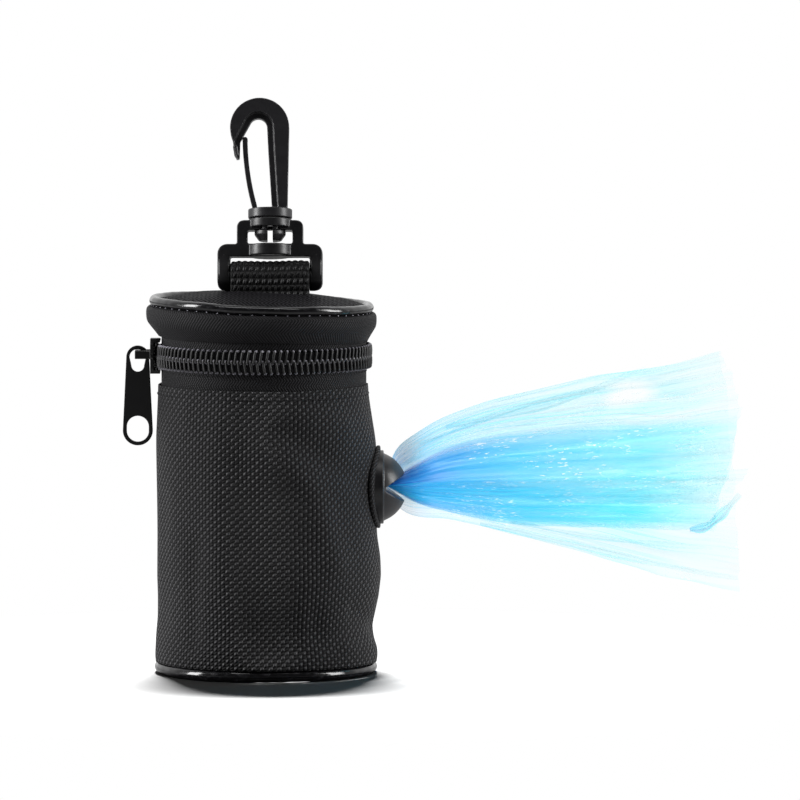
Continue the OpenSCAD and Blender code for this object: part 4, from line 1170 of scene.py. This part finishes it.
for name, outer, base, thick, seed, cloth, node in (
        ("outlet_patch_cloth", 10.35, 28.05, 1.1, 0.4, patch_cloth, "outlet_patch"),
        ("outlet_backing_cloth", 10.2, 25.8, 0.9, 1.7, lining_cloth, "outlet_backing")):
    patch = patch_ring(name, 8.05, outer, base, thick, seed)
    fit(patch, cloth, "pouch", "wall_fabric", node)

make_lead(core_film)
make_lid(lid_cloth, band_cloth, vinyl, binding_cloth)
make_webbing(webbing_cloth)
tab_x, tab_y = np.meshgrid(np.linspace(-11.6, 11.6, 40), np.linspace(-11.5, 11.5, 40),
                           indexing="ij")
tab_z = 89.3 + 0.08 * np.sin(tab_x) * np.sin(tab_y)
tab_patch = skin("strap_patch_cloth", np.stack([tab_x + LOOP_X, tab_y, tab_z], -1),
                 np.stack([tab_x, tab_y], -1))
fit(thicken(tab_patch, 0.5), lining_cloth, "lid", "wall_fabric", "strap_patch")

SEAM_Z = 70.2
seam_row("wall_stitches", lambda a: wall_radius(a, SEAM_Z + 0 * a) + 0.02,
         lambda a: SEAM_Z + 0.1 * np.sin(9 * a), 0, 360, 2.3, 1.55, 0.17, 0.02,
         black_thread, "pouch", "wall_fabric")
# Real stitches, their thread painted pale as a painted highlight of small bright dots
seam_row("lid_stitches", lambda a: lid_bead_radius(a) + 0.55, lambda a: lid_bead_height(a) - 1.05,
         0, 360, 2.9, 0.55, 0.14, 0.0, pale_thread, "lid", "band_tape")
seam_row("tape_stitches", lambda a: TAPE_OUT_R + 0.03 + 0 * a, lambda a: 75.9 + 0 * a,
         ZIP_START, ZIP_END, 1.5, 1.0, 0.12, 0.0, black_thread, "pouch", "zip_tape")

make_roll(roll_film)

for name, low, high, end, wall in (
        ("slider_lip_low", -3.45, -2.85, SLIDER_END, 0.62),
        ("slider_lip_high", 2.85, 3.45, SLIDER_END, 0.62),
        ("slider_core", -2.9, 2.9, SLIDER_CORE_END, 0.27)):
    plate = ribbon(name, SLIDER_R, ZIP_Z + low, ZIP_Z + high, SLIDER_START, end, 0.0, 5,
                   rows=6, per_degree=2)
    fit(thicken(plate, wall), slider_paint, "slider", "black_metal")

make_cheek("cheek_left", -1, acetal)
make_cheek("cheek_right", 1, acetal)
make_nose(hook_acetal)

# Rigid parts: the solids themselves, eased as mouldings and castings are
for node, voxel, rounds, material in (
        ("swivel_base", 0.16, 22, acetal), ("swivel_hook", 0.16, 3, hook_acetal),
        ("hook_gate", 0.12, 3, hook_acetal), ("zip_slider", 0.12, 2, slider_paint),
        ("zip_pull", 0.12, 3, enamel), ("outlet_grommet", 0.16, 3, rubber)):
    moulded(node, voxel, rounds, material)
for node, material in (("zip_stops_lower", slider_paint), ("zip_stops_upper", slider_paint),
                       ("base_board", board), ("roll_core", card)):
    paint(node, material)

# Bag film: the pale full fan, a pale upper wing, three panels of the folded core, loose folds
panels = (
    ("film_full", LOWER, UPPER, 0.6, (5, 9, 14), 21, 0.7, wing_film, (0.052, 0.100)),
    ("film_wing", CORE_UP, UPPER, -0.6, (4, 7, 11), 22, 0.6, wing_film, (0.014, 0.098)),
    ("film_core_back", CORE_LOW, CORE_UP, 0.3, (3, 6, 11), 23, 0.7, core_film, (0.030, 0.098)),
    ("film_core_front", CORE_LOW, CORE_UP, -0.4, (4, 7, 13), 24, 0.6, core_film, (0.030, 0.098)),
    ("film_core_low", CORE_LOW, MID, -0.8, (3, 5, 8), 25, 0.5, wing_film, (0.016, 0.096)),
)
folds = (
    ("film_corner", ((106.5, 36.0), (110.5, 36.6), (114.0, 39.2), (119.0, 44.8)), 1.15, 31),
    ("film_ridge", ((45.5, 61.6), (74.0, 68.0), (95.5, 76.5)), 0.8, 32),
    ("film_ridge_b", ((39.0, 57.6), (64.0, 66.6), (94.0, 73.6)), 0.6, 33),
    ("film_streak", ((54.0, 37.6), (81.5, 31.2), (104.0, 26.2), (118.5, 23.6)), 0.9, 34),
    ("film_streak_b", ((62.0, 38.0), (84.0, 34.2), (112.0, 31.4)), 0.7, 35),
)
film_sheets, film_folds = [], []
for name, low, high, back, pleats, seed, depth, material, size in panels:
    piece = film_fan(name, low, high, back, pleats, seed, depth)
    film_sheets.append((fit(piece, material, None, "blue_film"), size))
for name, path, width, seed in folds:
    material = core_film if name == "film_corner" else wing_film
    film_folds.append(fit(fan_fold(name, path, width, seed), material, None, "blue_film"))
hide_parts("bag_film")
for n, (piece, size) in enumerate(film_sheets):
    0.55 * size[0] * size[1]
film_pieces = [piece for piece, size in film_sheets] + film_folds
for piece in film_pieces:
    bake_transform(piece)

# ---- Stage ----

def pale_floor():
    """White board that takes the shadow near the pouch and fades out into the white room. The fade
    is the distance from the middle of the stage, in metres."""
    paper = Finish("pale_floor")
    x, y, _ = paper.split(paper.place())
    ray = paper.add("LightPath", None, None, "Is Camera Ray")
    away = paper.add("VectorMath", {"operation": "LENGTH"},
                            {0: paper.vector(x * 0.0011 - 0.014, y * 0.001, 0.0)}, 1)
    colour = paper.mix(ray, grey(0.3, (1, 1, 1)), grey(0.6, (1, 1, 1)))
    return paper.finish(base_color=colour, alpha=1 - away.step(0.075, 0.17) * ray, roughness=0.5,
                               specular_ior_level=0.0)


side = np.linspace(-3000, 3000, 13)
fx, fy = np.meshgrid(side, side, indexing="ij")
floor = skin("floor", np.stack([fx, fy, 0 * fx - 0.02], -1), np.stack([fx, fy], -1))
floor.data.materials.append(pale_floor())

# The room: white for the camera; in reflections it is white behind the pouch and dim in front of it
room = Finish("soft_room", bpy.data.worlds.new("soft_room"))
bpy.context.scene.world = room.material
seen = room.add("LightPath", None, None, "Is Camera Ray")
shine = Value(room, seen.socket.node.outputs["Is Glossy Ray"])
through = Value(room, seen.socket.node.outputs["Is Transmission Ray"])
ways = room.add("SeparateXYZ", None, {0: room.add("TexCoord", None, None, "Generated")})
behind = Value(room, ways.socket.node.outputs[1]).step(0.0, 0.5)
strength = seen.highest(shine * behind).highest(through).highest(0.035)
glow = room.add("Background", None, {"Color": (1, 1, 1), "Strength": strength})
room.add("OutputWorld", None, {0: glow})

# What each lamp lights, and the pieces that throw the shadow on the floor
goods, bags, ground, casters = groups = [
    bpy.data.collections.new(name) for name in ("goods", "bags", "ground", "casters")]
for group in groups:
    bpy.context.scene.collection.children.link(group)
for thing in list(bpy.context.scene.objects):
    if thing.type == "MESH" and thing is not floor:
        (bags if thing in film_pieces else goods).objects.link(thing)
        if thing.name in ("wall", "base_bead"):
            casters.objects.link(thing)
ground.objects.link(floor)
for lamp in (("left_box", (-1.10, -0.16, 0.36), (0.30, 0.9), 17.0, goods),
             ("right_box", (1.10, -0.18, 0.34), (0.30, 0.8), 12.0, goods),
             ("overhead", (0.0, -0.30, 1.10), (1.0, 0.22), 4.0, goods),
             ("film_front", (0.30, -1.30, 0.25), (0.9, 0.9), 28.0, bags),
             ("key_behind", (-0.03, 0.45, 1.05), (0.24, 0.08), 29.0, ground, casters)):
    set_lamp(*lamp)

bpy.context.scene.view_settings.view_transform = "Standard"
